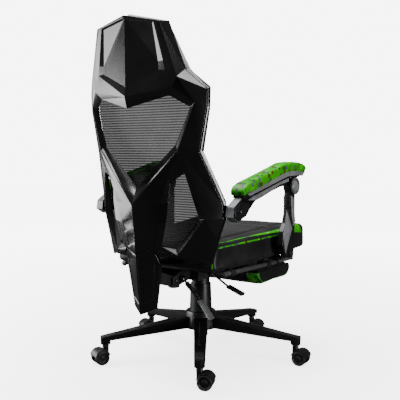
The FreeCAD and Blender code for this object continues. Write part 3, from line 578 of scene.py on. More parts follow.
@dataclass
class Stuffing:
    """How a padded piece swells from its pattern under pressure."""

    shrink_mm: float = 5.0
    voxel_mm: float = 6.0
    cap_mm: float = 8.0
    pressure: float = 4.0
    frames: int = 20

    def swell(self, target: bpy.types.Object, pinned_below: float) -> None:
        """Shrinks, remeshes and inflates an object, smooths it and eases it back to its pattern's size.

        Args:
            target: the object, a closed solid.
            pinned_below: vertices below this height stay, because they rest on something.
        """
        mesh = target.data
        low = Vector((min(v.co[i] for v in mesh.vertices) for i in range(3)))
        high = Vector((max(v.co[i] for v in mesh.vertices) for i in range(3)))
        middle = (low + high) / 2
        for vertex in mesh.vertices:
            for index in range(3):
                half = (high[index] - low[index]) / 2
                offset = vertex.co[index] - middle[index]
                vertex.co[index] = middle[index] + offset * (half - self.shrink_mm * MM) / half
        remesh = target.modifiers.new("voxels", "REMESH")
        remesh.mode = "VOXEL"
        remesh.voxel_size = self.voxel_mm * MM
        apply_modifiers(target)
        self.inflate(target, pinned_below)
        bm = bmesh.new()
        bm.from_mesh(target.data)
        for _ in range(3):
            bmesh.ops.smooth_vert(bm, verts=bm.verts, factor=0.5, use_axis_x=True, use_axis_y=True,
                                  use_axis_z=True)
        bm.to_mesh(target.data)
        bm.free()
        grown_low = Vector((min(v.co[i] for v in target.data.vertices) for i in range(3)))
        grown_high = Vector((max(v.co[i] for v in target.data.vertices) for i in range(3)))
        for vertex in target.data.vertices:
            for index in range(3):
                share = (vertex.co[index] - grown_low[index]) / (grown_high[index] - grown_low[index])
                vertex.co[index] = low[index] + share * (high[index] - low[index])
        for face in target.data.polygons:
            face.use_smooth = True

    def inflate(self, target: bpy.types.Object, pinned_below: float) -> None:
        """Runs the cloth pressure on an object and keeps its result, capped.

        Args:
            target: the object.
            pinned_below: vertices below this height stay.
        """
        mesh = target.data
        group = target.vertex_groups.new(name="pinned")
        held = [vertex.index for vertex in mesh.vertices if vertex.co.z < pinned_below]
        if held:
            group.add(held, 1.0, "REPLACE")
        cloth = target.modifiers.new("stuffing", "CLOTH")
        cloth.settings.use_pressure = True
        cloth.settings.uniform_pressure_force = self.pressure
        cloth.settings.effector_weights.gravity = 0
        cloth.settings.vertex_group_mass = "pinned"
        cloth.settings.quality = 5
        cloth.point_cache.frame_start = 1
        cloth.point_cache.frame_end = self.frames
        scene = bpy.context.scene
        for number in range(1, self.frames + 1):
            scene.frame_set(number)
        graph = bpy.context.evaluated_depsgraph_get()
        swollen = [vertex.co.copy() for vertex in target.evaluated_get(graph).data.vertices]
        target.modifiers.clear()
        scene.frame_set(1)
        limit = self.cap_mm * MM
        for vertex, place in zip(mesh.vertices, swollen):
            move = place - vertex.co
            if move.length > limit:
                move *= limit / move.length
            vertex.co += move
        target.vertex_groups.clear()


def subdivided(target: bpy.types.Object, levels: int = 1) -> None:
    """Adds and applies a subdivision surface."""
    surface = target.modifiers.new("smooth", "SUBSURF")
    surface.levels = levels
    surface.render_levels = levels
    apply_modifiers(target)
    for face in target.data.polygons:
        face.use_smooth = True


def ribbon(name: str, points: list[Vector], across: Vector, widths_mm: list[float], target: bpy.types.Object,
           look: Look, body: str, lift_mm: float = 0.6) -> bpy.types.Object:
    """Lays a thin strip on a soft piece.

    Args:
        name: the strip's name.
        points: its middle line, near the surface.
        across: the direction of its width.
        widths_mm: its width at each point, or one width for all.
        target: the piece it lies on.
        look: its finish.
        body: the body it rides on.
        lift_mm: how far it stands off the surface.

    Returns:
        The strip.
    """
    bm = bmesh.new()
    rows = []
    for index, point in enumerate(points):
        width = widths_mm[index] if len(widths_mm) > 1 else widths_mm[0]
        half = across.normalized() * width * MM / 2
        rows.append([bm.verts.new(point - half), bm.verts.new(point), bm.verts.new(point + half)])
    for before, after in zip(rows, rows[1:]):
        for index in range(2):
            bm.faces.new((before[index], before[index + 1], after[index + 1], after[index]))
    bmesh.ops.subdivide_edges(bm, edges=bm.edges, cuts=3, use_grid_fill=True)
    made = piece(name, bm, look, body)
    wrap = made.modifiers.new("lie", "SHRINKWRAP")
    wrap.target = target
    wrap.offset = lift_mm * MM
    wrap.wrap_method = "NEAREST_SURFACEPOINT"
    wrap.wrap_mode = "ABOVE_SURFACE"
    apply_modifiers(made)
    thick = made.modifiers.new("thick", "SOLIDIFY")
    thick.thickness = 1.0 * MM
    apply_modifiers(made)
    box_uv(made)
    return made


def line(start: Vector, end: Vector, count: int) -> list[Vector]:
    """Gives evenly spaced points from start to end."""
    return [start.lerp(end, index / (count - 1)) for index in range(count)]


# ---------------------------------------------------------------- sub-assemblies


@dataclass
class StarBase:
    """Five-arm base with its castors and the gas lift."""

    arms: int = 5
    root_radius: float = 0.03
    root_top: float = 0.146
    end_radius: float = 0.355
    end_top: float = 0.092
    grip_half: tuple[float, float, float] = (0.0125, 0.022, 0.0016)
    grip_lift: float = 0.0006
    inlay_half: tuple[float, float, float] = (0.0042, 0.085, 0.0012)
    inlay_lift: float = 0.0004
    inlay_radius: float = 0.175

    def build(self) -> None:
        """Builds and dresses the base."""
        self.star()
        for number in range(1, self.arms + 1):
            self.castor(number)
        for node, look in (("gas_lift_cylinder", Look.DARK_STEEL), ("cover_lower", Look.DARK),
                           ("cover_middle", Look.DARK), ("cover_upper", Look.DARK),
                           ("gas_lift_piston", Look.STEEL)):
            dress(node, look)

    def star(self) -> None:
        """Moulds the star: rounded arms, each with a dark strip along its top and a pad at its tip."""
        bm = merged("star_base")
        made = piece("star_base_moulding", bm, Look.BASE, "base")
        bevelled(made, 3.0, 3, 25.0)
        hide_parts("star_base")
        grips = bmesh.new()
        inlays = bmesh.new()
        for number in range(1, self.arms + 1):
            stem = self.stem(number)
            outward = Vector((stem.x, stem.y, 0)).normalized()
            turn = Vector((0, 1, 0)).rotation_difference(outward).to_matrix().to_4x4()
            tip = outward * (stem.length - 0.012)
            slope = self.slope()
            tilt = Matrix.Rotation(math.atan(-slope), 4, "X")
            for target, reach, half, lift in (
                    (grips, tip, self.grip_half, self.grip_lift),
                    (inlays, outward * self.inlay_radius, self.inlay_half, self.inlay_lift)):
                height = self.top_at(reach.length) + lift
                place = Matrix.Translation((reach.x, reach.y, height)) @ turn @ tilt
                shape = Matrix.Diagonal((half[0] * 2, half[1] * 2, half[2] * 2, 1))
                verts = bmesh.ops.create_cube(target, size=1, matrix=place @ shape)["verts"]
                edges = {edge for vert in verts for edge in vert.link_edges}
                bmesh.ops.bevel(target, geom=list(edges), offset=1.2 * MM, segments=2, profile=0.5,
                                affect="EDGES", material=-1)
        piece("base_tip_grips", grips, Look.TYRE, "base")
        piece("base_arm_inlays", inlays, Look.DARK, "base")

    def stem(self, number: int) -> Vector:
        """Gives the plan position of a castor's stem, from its joint."""
        for joint in frame["joints"]:
            if joint["name"] == f"castor_swivel_{number}":
                return Vector((joint["pos_m"][0], joint["pos_m"][1], 0))
        raise KeyError(number)

    def slope(self) -> float:
        """Gives how steeply an arm's top falls outwards."""
        return (self.root_top - self.end_top) / (self.end_radius - self.root_radius)

    def top_at(self, radius: float) -> float:
        """Gives the height of an arm's top at a radius."""
        return self.root_top - (radius - self.root_radius) * self.slope()

    def castor(self, number: int) -> None:
        """Turns a castor's twin wheels with rim rings and hubs, and rounds its hood."""
        moulded(f"castor_hood_moulding_{number}", f"castor_hood_{number}", Look.DARK,
                f"castor_{number}", 1.2, 3, 30.0)
        for joint in frame["joints"]:
            if joint["name"] == f"castor_roll_{number}":
                axis = Vector(joint["axis"])
                centre = Vector(joint["pos_m"])
        tyres = bmesh.new()
        rims = bmesh.new()
        for sign in (1, -1):
            outward = axis * sign
            turned(tyres, centre, outward, [(0.008, 0.016), (0.008, 0.0225), (0.0095, 0.0245),
                                                 (0.0115, 0.025), (0.0215, 0.025), (0.0238, 0.0243),
                                                 (0.025, 0.0225), (0.025, 0.0205), (0.0238, 0.0195)])
            turned(rims, centre, outward, [(0.0236, 0.0197), (0.0243, 0.0188), (0.0243, 0.0172),
                                                (0.0228, 0.016), (0.0222, 0.0095), (0.0243, 0.0082),
                                                (0.0247, 0.0055), (0.0247, 0.0)])
        for bm in (tyres, rims):
            bmesh.ops.remove_doubles(bm, verts=bm.verts, dist=0.02 * MM)
            bmesh.ops.recalc_face_normals(bm, faces=bm.faces)
        body = f"wheels_{number}"
        tyre = piece(f"castor_tyres_{number}", tyres, Look.TYRE, body)
        rim = piece(f"castor_rims_{number}", rims, Look.DARK, body)
        for made in (tyre, rim):
            bevelled(made, 0.4, 2, 40.0)
        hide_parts(f"castor_wheels_{number}")
        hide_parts(f"castor_wheels_{number}")


@dataclass
class Mechanism:
    """Tilt mechanism, levers and footrest rails under the seat."""

    def build(self) -> None:
        """Dresses the hidden steel and builds the knob and the lever grips."""
        for node in ("tilt_housing", "mechanism_plate", "hinge_brackets", "tilt_spring",
                     "armrest_bracket_right", "armrest_bracket_left", "rail_hangers"):
            dress(node, Look.DARK_STEEL)
        for node in ("recline_pin", "seat_screws", "armrest_strut_pins", "armrest_rear_pins",
                     "footrest_slide_frame", "height_lever_rod", "recline_lever_rod"):
            dress(node, Look.STEEL)
        for node in ("footrest_rail_right", "footrest_rail_left"):
            dress(node, Look.GREY_TUBE)
        dress("seat_board", Look.DUST_COVER)
        dress("footrest_board", Look.DARK)
        for node in ("rail_end_caps", "rail_collars"):
            moulded(node + "_moulding", node, Look.DARK, "seat", 0.8, 2, 40.0)
        self.knob()
        self.levers()

    def knob(self) -> None:
        """Turns the tension knob, with flutes round its grip."""
        low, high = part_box("tension_knob")
        centre = (low + high) / 2
        radius = (high.x - low.x) / 2
        bm = bmesh.new()
        foot = Vector((centre.x, centre.y, low.z))
        rod(bm, foot, Vector((centre.x, centre.y, low.z + 0.034)), radius * 0.93, segments=32, round_mm=2.0)
        for index in range(16):
            angle = 2 * math.pi * index / 16
            x = centre.x + radius * 0.9 * math.cos(angle)
            y = centre.y + radius * 0.9 * math.sin(angle)
            rod(bm, Vector((x, y, low.z + 0.002)), Vector((x, y, low.z + 0.031)), 0.0022, segments=8)
        rod(bm, Vector((centre.x, centre.y, low.z + 0.03)), Vector((centre.x, centre.y, high.z)), 0.005)
        made = piece("tension_knob_grip", bm, Look.DARK, "tension_knob")
        bevelled(made, 0.4, 2, 40.0)
        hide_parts("tension_knob")

    def levers(self) -> None:
        """Builds the recline lever's spiral sleeve and both paddles."""
        low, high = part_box("recline_lever_sleeve")
        middle_y = (low.y + high.y) / 2
        start = Vector((high.x - 0.006, middle_y, high.z - 0.006))
        end = Vector((low.x + 0.006, middle_y, low.z + 0.006))
        bm = bmesh.new()
        rings = 13
        for index in range(rings):
            near = start.lerp(end, index / rings)
            far = start.lerp(end, (index + 0.62) / rings)
            rod(bm, near, far, 0.0084, segments=24, round_mm=0.9)
        rod(bm, start, end, 0.0066)
        sleeve = piece("recline_lever_spiral", bm, Look.DARK, "recline_lever")
        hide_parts("recline_lever_sleeve")
        for lever, look in (("height_lever", Look.DARK), ("recline_lever", Look.SILVER_DULL)):
            made = piece(lever + "_grip", merged(lever + "_paddle"), look, lever)
            bevelled(made, 1.0, 2, 30.0)
            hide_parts(lever + "_paddle")


@dataclass
class Seat:
    """Seat cushion with its printed stripes and piping."""

    stuffing: Stuffing = field(default_factory=lambda: Stuffing(5.0, 7.0, 7.0))
    seam_half: float = 0.165
    seam_depth_mm: float = 7.0

    def build(self) -> None:
        """Builds the cushion and what is sewn on it."""
        cushion = piece("seat_cushion_padded", merged("seat_cushion"), Look.LEATHER, "seat")
        low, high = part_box("seat_cushion")
        self.stuffing.swell(cushion, low.z + 0.016)
        self.seams(cushion, high.z)
        subdivided(cushion)
        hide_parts("seat_cushion")
        self.stripes(cushion, low, high)

    def seams(self, cushion: bpy.types.Object, top: float) -> None:
        """Pulls the sewn seams of the top panel down into the cushion.

        Args:
            cushion: the cushion.
            top: height of its top.
        """
        for vertex in cushion.data.vertices:
            if vertex.co.z < top - 0.05:
                continue
            inner = self.seam_half - 0.02 * (vertex.co.y + 0.05)
            side = math.exp(-((abs(vertex.co.x) - inner) / 0.006) ** 2) * (vertex.co.y < 0.19)
            cross = math.exp(-((vertex.co.y + 0.19) / 0.006) ** 2) * (abs(vertex.co.x) < inner)
            vertex.co.z -= max(side, cross) * self.seam_depth_mm * MM

    def stripes(self, cushion: bpy.types.Object, low: Vector, high: Vector) -> None:
        """Lays the printed stripes on the cushion's top edges and the piping round its sides."""
        for side, sign in (("right", -1), ("left", 1)):
            top = [Vector((sign * x, y, z)) for x, y, z in
                   ((0.196, 0.18, 0.452), (0.203, 0.06, 0.451), (0.212, -0.04, 0.449), (0.221, -0.14, 0.446),
                    (0.230, -0.24, 0.440), (0.236, -0.318, 0.434))]
            ribbon(f"seat_stripe_{side}", top, Vector((sign * 0.6, 0, -0.8)),
                   [3.0, 6.0, 11.0, 18.0, 27.0, 36.0], cushion, Look.MOSAIC, "seat")
            wall = [Vector((sign * (0.202 + (0.19 - y) * 0.091), y, 0.4215 + (0.2 - y) * 0.018))
                    for y in (0.19, 0.09, -0.01, -0.11, -0.21, -0.30)]
            ribbon(f"seat_piping_{side}", wall, Vector((0, 0, 1)), [6.5], cushion, Look.MOSAIC, "seat")
            corner = [Vector((sign * 0.193, 0.222, z)) for z in (0.355, 0.38, 0.41)]
            ribbon(f"seat_corner_piping_{side}", corner, Vector((1, 0, 0)), [6.0], cushion, Look.MOSAIC,
                   "seat")


@dataclass
class Footrest:
    """Padded bolster of the pull-out footrest."""

    stuffing: Stuffing = field(default_factory=lambda: Stuffing(4.0, 6.0, 6.0))

    def build(self) -> None:
        """Builds the bolster with its printed bands."""
        cushion = piece("footrest_bolster", merged("footrest_cushion"), Look.LEATHER, "footrest")
        low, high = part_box("footrest_cushion")
        self.stuffing.swell(cushion, -1.0)
        for vertex in cushion.data.vertices:
            if vertex.co.z > high.z - 0.002:
                vertex.co.z = high.z - 0.002
        subdivided(cushion)
        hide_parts("footrest_cushion")
        for side, sign in (("right", -1), ("left", 1)):
            x = sign * 0.160
            lap = [Vector((x, high.y, high.z - 0.01)), Vector((x, high.y, low.z + 0.04)),
                   Vector((x, high.y - 0.02, low.z + 0.01)), Vector((x, high.y - 0.05, low.z)),
                   Vector((x, (low.y + high.y) / 2, low.z)), Vector((x, low.y + 0.05, low.z)),
                   Vector((x, low.y + 0.02, low.z + 0.01)), Vector((x, low.y, low.z + 0.04)),
                   Vector((x, low.y, high.z - 0.01))]
            ribbon(f"footrest_band_{side}", lap, Vector((1, 0, 0)), [46.0], cushion, Look.MOSAIC, "footrest")
            edge = [Vector((sign * 0.186, y, z)) for y, z in
                    ((high.y - 0.006, high.z - 0.004), (high.y - 0.006, low.z + 0.03),
                     (high.y - 0.03, low.z + 0.01), (high.y - 0.06, low.z + 0.004),
                     (low.y + 0.06, low.z + 0.004), (low.y + 0.03, low.z + 0.01),
                     (low.y + 0.006, low.z + 0.03), (low.y + 0.006, high.z - 0.004))]
            ribbon(f"footrest_edge_{side}", edge, Vector((1, 0, 0)), [14.0], cushion, Look.MOSAIC, "footrest")


@dataclass
class Armrest:
    """One linked armrest: moulded arm, pad, strut and pivot knob."""

    side: str
    sign: int
    stuffing: Stuffing = field(default_factory=lambda: Stuffing(1.5, 4.0, 3.0))
    tray: tuple[tuple[float, float], ...] = (
        (165, 590), (-56, 642.2), (-111, 652.2), (-167, 653.8), (-227, 648.3), (-242, 654), (-238, 648),
        (-222, 634), (-165, 637), (-111, 636), (-56, 626), (60, 602), (150, 584))
    # Outline of the silver strip along the arm's side: a painted highlight.
    side_highlight_outline: tuple[tuple[float, float], ...] = (
        (148, 570), (128, 579), (-70, 620), (-128, 630), (-125, 618), (-60, 609), (100, 568))
    knuckle_top: tuple[tuple[float, float], ...] = (
        (183, 577.5), (187.5, 578.2), (230.5, 554), (229, 551), (186, 574.5))
    knuckle_rear: tuple[tuple[float, float], ...] = (
        (230.8, 552.5), (235.6, 523.5), (206, 507), (203, 509.5), (232, 524.5), (227.5, 551.5))
    cheek: tuple[tuple[float, float], ...] = (
        (190, 568), (222, 548), (226, 525), (203, 513), (157, 526), (136, 547), (140, 560))
    foot: tuple[tuple[float, float], ...] = (
        (184, 586), (150, 594), (140, 588), (150, 578), (182, 578))
    strut_cheek: tuple[tuple[float, float], ...] = (
        (-141, 520), (-124, 474), (-99, 446), (-95, 400), (-112, 366), (-142, 351))
    # Outline of the silver strip along the strut's front edge: a painted highlight.
    strut_edge_highlight: tuple[tuple[float, float], ...] = (
        (-149, 568), (-168, 562), (-186, 475), (-170, 460), (-160, 492))
    diamond: tuple[tuple[float, float], ...] = ((-123, 520), (-169, 454), (-118, 368), (-95, 436))

    def build(self) -> None:
        """Builds the armrest."""
        body = f"armrest_{self.side}"
        moulded(f"arm_moulding_{self.side}", f"armrest_frame_{self.side}", Look.SHELL,
                body, 2.0, 3, 25.0)
        self.pad(body)
        self.strut()
        self.trims(body)
        self.knob(body)
        moulded(f"arm_mount_{self.side}", f"armrest_mount_{self.side}", Look.SHELL_PANEL,
                "back", 2.5, 3, 30.0)

    def pad(self, body: str) -> None:
        """Builds the printed pad."""
        node = f"armrest_pad_{self.side}"
        pad = piece(node + "_padded", merged(node), Look.MOSAIC, body)
        self.stuffing.swell(pad, -1.0)
        subdivided(pad)
        box_uv(pad)
        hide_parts(node)

    def plated(self, name: str, outlines: tuple[tuple[tuple[float, float], ...], ...],
               span_mm: tuple[float, float], look: Look, body: str,
               round_mm: float = 1.0) -> bpy.types.Object:
        """Builds flat trims of one finish.

        Args:
            name: the piece's name.
            outlines: corners of each trim as (y, z), in millimetres.
            span_mm: how far from the middle plane they start and end.
            look: their finish.
            body: the body they ride on.
            round_mm: rounding of their edges.

        Returns:
            The piece.
        """
        bm = bmesh.new()
        for outline in outlines:
            slab(bm, [(y * MM, z * MM) for y, z in outline], self.sign * span_mm[0] * MM,
                 self.sign * span_mm[1] * MM)
        made = piece(f"{name}_{self.side}", bm, look, body)
        bevelled(made, round_mm, 3, 20.0)
        return made

    def trims(self, body: str) -> None:
        """Builds the silver tray under the pad, the silver side strip that is a painted highlight, and the
        knuckle's plates and pivot cap.
        """
        self.plated("arm_tray", (self.tray,), (240.0, 286.0), Look.SILVER, body, 1.6)
        # Silver strip along the arm's side: a painted highlight on the black moulding.
        self.plated("arm_side_highlight", (self.side_highlight_outline,), (273.0, 278.6), Look.SILVER, body)
        self.plated("knuckle_plate", (self.knuckle_top, self.knuckle_rear), (249.0, 276.0), Look.SILVER_DULL,
                    body)
        self.plated("knuckle_cheek", (self.cheek,), (273.0, 277.2), Look.DARK, body, 2.0)
        self.plated("pad_foot", (self.foot,), (243.0, 284.0), Look.DARK, body, 1.5)
        low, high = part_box(f"armrest_mount_{self.side}")
        centre = Vector((self.sign * 0.2765, (low.y + high.y) / 2 - 0.0026, (low.z + high.z) / 2))
        bm = bmesh.new()
        turned(bm, centre, Vector((self.sign, 0, 0)),
               [(0.0, 0.0), (0.0, 0.0098), (0.0016, 0.0098), (0.0024, 0.009), (0.0012, 0.0072),
                (0.0012, 0.004), (0.002, 0.0)])
        cap = piece(f"pivot_cap_{self.side}", bm, Look.SHELL, body)
        bevelled(cap, 0.3, 2, 40.0)

    def knob(self, body: str) -> None:
        """Turns the pivot knob on its bolt: a dull ring round a dished face painted silver as a painted
        highlight.
        """
        low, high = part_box(f"armrest_knob_{self.side}")
        inner = low.x if self.sign > 0 else high.x
        outer = high.x if self.sign > 0 else low.x
        centre = Vector((0, (low.y + high.y) / 2, (low.z + high.z) / 2))
        radius = (high.z - low.z) / 2
        axis = Vector((self.sign, 0, 0))
        face = abs(outer)
        ring = bmesh.new()
        turned(ring, centre, axis, [(abs(inner), 0.0), (abs(inner), 0.006), (face - 0.0085, 0.006),
                                    (face - 0.0085, radius - 0.003), (face - 0.006, radius),
                                    (face - 0.0015, radius), (face, radius - 0.0015), (face, radius - 0.006),
                                    (face - 0.004, radius - 0.009), (face - 0.004, 0.0)])
        knob = piece(f"pivot_knob_{self.side}", ring, Look.SILVER_DULL, body)
        bevelled(knob, 0.5, 2, 30.0)
        # The dished face is painted silver: a painted highlight standing in for the light on the knob's
        # glossy face.
        dish = bmesh.new()
        turned(dish, centre, axis, [(face - 0.0045, 0.0), (face - 0.0045, radius - 0.0105),
                                    (face - 0.003, radius - 0.012), (face - 0.0012, radius * 0.3),
                                    (face - 0.001, 0.0)])
        cover = piece(f"pivot_knob_painted_highlight_{self.side}", dish, Look.SILVER, body)
        for made in (knob, cover):
            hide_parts(f"armrest_knob_{self.side}")

    def strut(self) -> None:
        """Builds the strut with its silver diamond and a silver strip along its front edge that is a painted
        highlight.
        """
        node = f"armrest_strut_{self.side}"
        body = f"strut_{self.side}"
        moulded(node + "_moulding", node, Look.SHELL_PANEL, body, 2.5, 3, 30.0)
        self.plated("strut_cheek", (self.strut_cheek,), (252.5, 273.0), Look.SHELL_PANEL, body, 3.0)
        # Silver strip along the strut's front edge: a painted highlight on the black strut.
        self.plated("strut_edge_highlight", (self.strut_edge_highlight,), (272.0, 276.6), Look.SILVER, body)
        bm = bmesh.new()
        corners = [bm.verts.new((self.sign * 0.2735, y * MM, z * MM)) for y, z in self.diamond]
        peak = bm.verts.new((self.sign * 0.2805, -0.134, 0.445))
        for index, corner in enumerate(corners):
            bm.faces.new((corner, corners[(index + 1) % len(corners)], peak))
        bm.faces.new(corners)
        bmesh.ops.recalc_face_normals(bm, faces=bm.faces)
        made = piece(f"strut_diamond_{self.side}", bm, Look.SILVER, body, smooth=False)
        bevelled(made, 0.6, 2, 5.0)


@dataclass
class Backrest:
    """Faceted rear shell, spine, tail, front frame and the knit stretched over it."""

    curve_allowance: float = 0.06
    head_panel: tuple[tuple[float, float], ...] = (
        (0, 1112), (99.5, 1092.5), (129.5, 954), (0, 884), (-129.5, 954), (-99.5, 1092.5))
    spine_panels: tuple[tuple[tuple[float, float], ...], ...] = (
        ((58, 499), (1.5, 519), (1.5, 491), (51, 473)), ((45, 456), (1.5, 472), (1.5, 443), (40, 427)))
    reveal_outer: tuple[tuple[float, float, float], ...] = (
        (164, 328.5, 703), (199.2, 273.1, 517.5), (120.1, 303, 406.2), (55, 336.5, 421), (72.8, 343.7, 501),
        (85.7, 342.4, 564), (115.1, 341.2, 641))
    reveal_inner: tuple[tuple[float, float, float], ...] = (
        (158, 318, 656), (172.3, 262, 513.6), (109.3, 296, 423.3), (77.9, 326, 432), (99.5, 333, 505.4),
        (109.2, 333, 566.2), (112.2, 330, 625))
    tail_panels: tuple[tuple[tuple[float, float], ...], ...] = (
        ((54, 400), (3.5, 392), (3.5, 244), (40, 262)), ((-3.5, 392), (-54, 400), (-40, 262), (-3.5, 244)))
    edge_mm: float = 3.0

    def build(self) -> None:
        """Builds the backrest."""
        shell = merged("back_shell")
        inside = carve(shell, list(self.head_panel), 6.0, -4.2)
        self.taper(inside)
        made = piece("back_shell_moulding", shell, Look.SHELL, "back")
        bevelled(made, self.edge_mm, 3, 7.0)
        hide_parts("back_shell")
        for node, label in (("spine_cover", "spine"), ("tail_cover", "tail"), ("back_frame", "front_frame")):
            bm = merged(node)
            if label == "spine":
                for outline in self.spine_panels:
                    carve(bm, list(outline), 1.0, -1.4)
            if label == "tail":
                for outline in self.tail_panels:
                    carve(bm, list(outline), 2.0, -1.6)
            if label == "front_frame":
                self.draw_in(bm)
                edge = 4.5
            else:
                edge = self.edge_mm
            made = piece(label + "_moulding", bm, Look.SHELL, "back")
            bevelled(made, edge, 3, 7.0)
            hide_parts(node)
        for node in ("back_bracket", "bracket_spacers"):
            dress(node, Look.DARK_STEEL)
        self.reveals()
        self.knit()

    def reveals(self) -> None:
        """Lines both lower windows with sloping walls that lead in to the knit."""
        for side, sign in (("right", -1), ("left", 1)):
            bm = bmesh.new()
            outer = [bm.verts.new((sign * x * MM, y * MM, z * MM)) for x, y, z in self.reveal_outer]
            inner = [bm.verts.new((sign * x * MM, y * MM, z * MM)) for x, y, z in self.reveal_inner]
            for index, corner in enumerate(outer):
                after = (index + 1) % len(outer)
                bm.faces.new((corner, outer[after], inner[after], inner[index]))
            bmesh.ops.recalc_face_normals(bm, faces=bm.faces)
            if sum(face.normal.y * face.calc_area() for face in bm.faces) < 0:
                bmesh.ops.reverse_faces(bm, faces=bm.faces)
            bmesh.ops.triangulate(bm, faces=bm.faces)
            made = piece(f"window_reveal_{side}", bm, Look.SHELL, "back", smooth=False)
            wall = made.modifiers.new("wall", "SOLIDIFY")
            wall.thickness = 2.2 * MM
            wall.offset = -1.0
            bevelled(made, 0.8, 2, 25.0)

    def taper(self, inside: list[bmesh.types.BMFace]) -> None:
        """Widens the head panel's sloping border towards the chin.

        Args:
            inside: the panel's sunk faces.
        """
        own = {}
        for face in inside:
            for vert in face.verts:
                own.setdefault(vert, []).append((face.calc_center_median(), face.normal.copy()))
        for vert, planes in own.items():
            near = min(max((1.09 - vert.co.z) / 0.14, 0.0), 1.0)
            x = vert.co.x * (1 - 0.13 * near)
            z = vert.co.z + (0.020 if vert.co.z < 0.9 and abs(vert.co.x) < 0.002 else 0.0)
            heights = [centre.y - (normal.x * (x - centre.x) + normal.z * (z - centre.z)) / normal.y
                       for centre, normal in planes]
            vert.co = (x, sum(heights) / len(heights), z)

    def draw_in(self, bm: bmesh.types.BMesh) -> None:
        """Draws the front frame in a little, so that its rim sits just inside the rear shell's."""
        for vert in bm.verts:
            vert.co.x *= 0.992
            vert.co.z = 0.75 + (vert.co.z - 0.75) * 0.994

    def knit(self) -> None:
        """Stretches the knit over the front frame."""
        bm = merged("back_mesh")
        rear = [face for face in bm.faces if face.normal.y > -0.25]
        bmesh.ops.delete(bm, geom=rear, context="FACES")
        bmesh.ops.triangulate(bm, faces=bm.faces)
        bmesh.ops.subdivide_edges(bm, edges=bm.edges, cuts=7, use_grid_fill=True)
        inner = [vert for vert in bm.verts if not vert.is_boundary]
        for _ in range(14):
            bmesh.ops.smooth_vert(bm, verts=inner, factor=0.5, use_axis_x=True, use_axis_y=True,
                                  use_axis_z=True)
        bmesh.ops.translate(bm, verts=bm.verts, vec=(0, 0.0008, 0))
        area = sum(face.calc_area() for face in bm.faces)
        made = piece("back_knit", bm, Look.KNIT, "back")
        thick = made.modifiers.new("thick", "SOLIDIFY")
        thick.thickness = 1.2 * MM
        thick.offset = 0
        apply_modifiers(made)
        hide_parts("back_mesh")


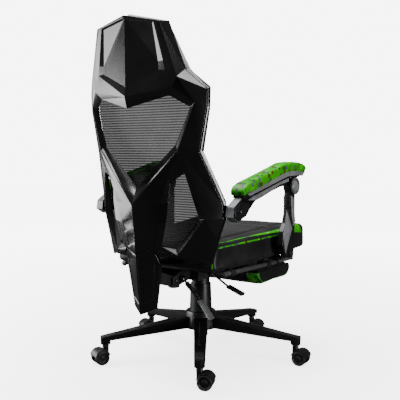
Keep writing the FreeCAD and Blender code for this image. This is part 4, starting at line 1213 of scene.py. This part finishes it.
@dataclass
class Studio:
    """Pale floor, backdrop, soft lights and the camera."""

    azimuth: float = 214.27
    elevation: float = 4.395
    place: tuple[float, float, float] = (-1.2712, 1.8704, 0.7241)
    lens_mm: float = 58.15

    def build(self) -> None:
        """Builds the studio."""
        self.camera()
        self.stage()
        self.lights()

    def camera(self) -> None:
        """Sets up the camera."""
        data = bpy.data.cameras.new("camera")
        data.lens = self.lens_mm
        data.sensor_width = 36
        data.clip_end = 50
        camera = bpy.data.objects.new("camera", data)
        bpy.context.scene.collection.objects.link(camera)
        a, e = math.radians(self.azimuth), math.radians(self.elevation)
        back = Vector((math.sin(a) * math.cos(e), -math.cos(a) * math.cos(e), math.sin(e)))
        camera.location = self.place
        camera.rotation_euler = back.to_track_quat("Z", "Y").to_euler()
        bpy.context.scene.camera = camera

    def stage(self) -> None:
        """Makes the floor."""
        bm = bmesh.new()
        bmesh.ops.create_grid(bm, x_segments=1, y_segments=1, size=9.0)
        mesh = bpy.data.meshes.new("studio_floor")
        bm.to_mesh(mesh)
        bm.free()
        floor = bpy.data.objects.new("studio_floor", mesh)
        bpy.context.scene.collection.objects.link(floor)
        material = bpy.data.materials.new("studio_paper")
        material.use_nodes = True
        tree = material.node_tree
        shader = tree.nodes["Principled BSDF"]
        shader.inputs["Roughness"].default_value = 0.9
        shader.inputs["Specular IOR Level"].default_value = 0.0
        shader.inputs["Emission Color"].default_value = linear("#FFFFFF")
        place = add_node(tree, "ShaderNodeTexCoord")
        reach = add_node(tree, "ShaderNodeVectorMath", {0: place.outputs["Object"]}, operation="LENGTH")
        fade = add_node(tree, "ShaderNodeMapRange", {"Value": reach.outputs["Value"], "From Min": 0.4,
                                                     "From Max": 3.0, "To Min": 3.4, "To Max": 6.6})
        path = add_node(tree, "ShaderNodeLightPath")
        seen = add_node(tree, "ShaderNodeMath", {0: fade.outputs["Result"], 1: path.outputs["Is Camera Ray"]},
                        operation="MULTIPLY")
        tree.links.new(seen.outputs[0], shader.inputs["Emission Strength"])
        sheet = ramp(tree, path.outputs["Is Camera Ray"], [(0.0, "#3C3C3C"), (1.0, "#EFEFEF")])
        tree.links.new(sheet, shader.inputs["Base Color"])
        mesh.materials.append(material)

    def lights(self) -> None:
        """Sets a pale world and three large soft lights."""
        world = bpy.data.worlds.new("studio_world")
        world.use_nodes = True
        bpy.context.scene.world = world
        tree = world.node_tree
        tree.nodes.clear()
        output = add_node(tree, "ShaderNodeOutputWorld")
        paper = add_node(tree, "ShaderNodeBackground", {"Color": linear("#FFFFFF"), "Strength": 7.0})
        fill = add_node(tree, "ShaderNodeBackground", {"Color": linear("#FFFFFF"), "Strength": 0.12})
        path = add_node(tree, "ShaderNodeLightPath")
        mixed = add_node(tree, "ShaderNodeMixShader", {"Fac": path.outputs["Is Camera Ray"],
                                                       1: fill.outputs[0], 2: paper.outputs[0]})
        tree.links.new(mixed.outputs[0], output.inputs["Surface"])
        for name, place, aim, size, power in (
                ("left_softbox", (2.1, 0.6, 0.62), (0, 0.6, 0.62), (1.3, 1.1), 30.0),
        ("head_softbox", (2.05, 1.85, 0.72), (0, 0.9, 0.7), (1.1, 1.1), 48.0),
                ("right_softbox", (-2.8, 0.35, 0.45), (0, 0.3, 0.6), (0.5, 0.9), 45.0),
                ("shoulder_softbox", (-2.0, 0.5, 2.9), (0, 0.2, 0.8), (0.8, 0.8), 32.0),
                ("top_softbox", (0.6, 0.2, 3.2), (0, 0.1, 0.5), (2.2, 2.2), 180.0)):
            data = bpy.data.lights.new(name, "AREA")
            data.shape = "RECTANGLE"
            data.size, data.size_y = size
            data.energy = power
            lamp = bpy.data.objects.new(name, data)
            bpy.context.scene.collection.objects.link(lamp)
            lamp.location = place
            lamp.visible_camera = False
            lamp.rotation_euler = (Vector(place) - Vector(aim)).to_track_quat("Z", "Y").to_euler()


def main() -> None:
    """Builds the chair's looks, part by part."""
    logging.basicConfig(level=logging.INFO, format="%(message)s")
    Studio().build()
    StarBase().build()
    Mechanism().build()
    Seat().build()
    Footrest().build()
    Armrest("right", -1).build()
    Armrest("left", 1).build()
    Backrest().build()
    bpy.context.view_layer.update()


if __name__ == "__main__":
    main()
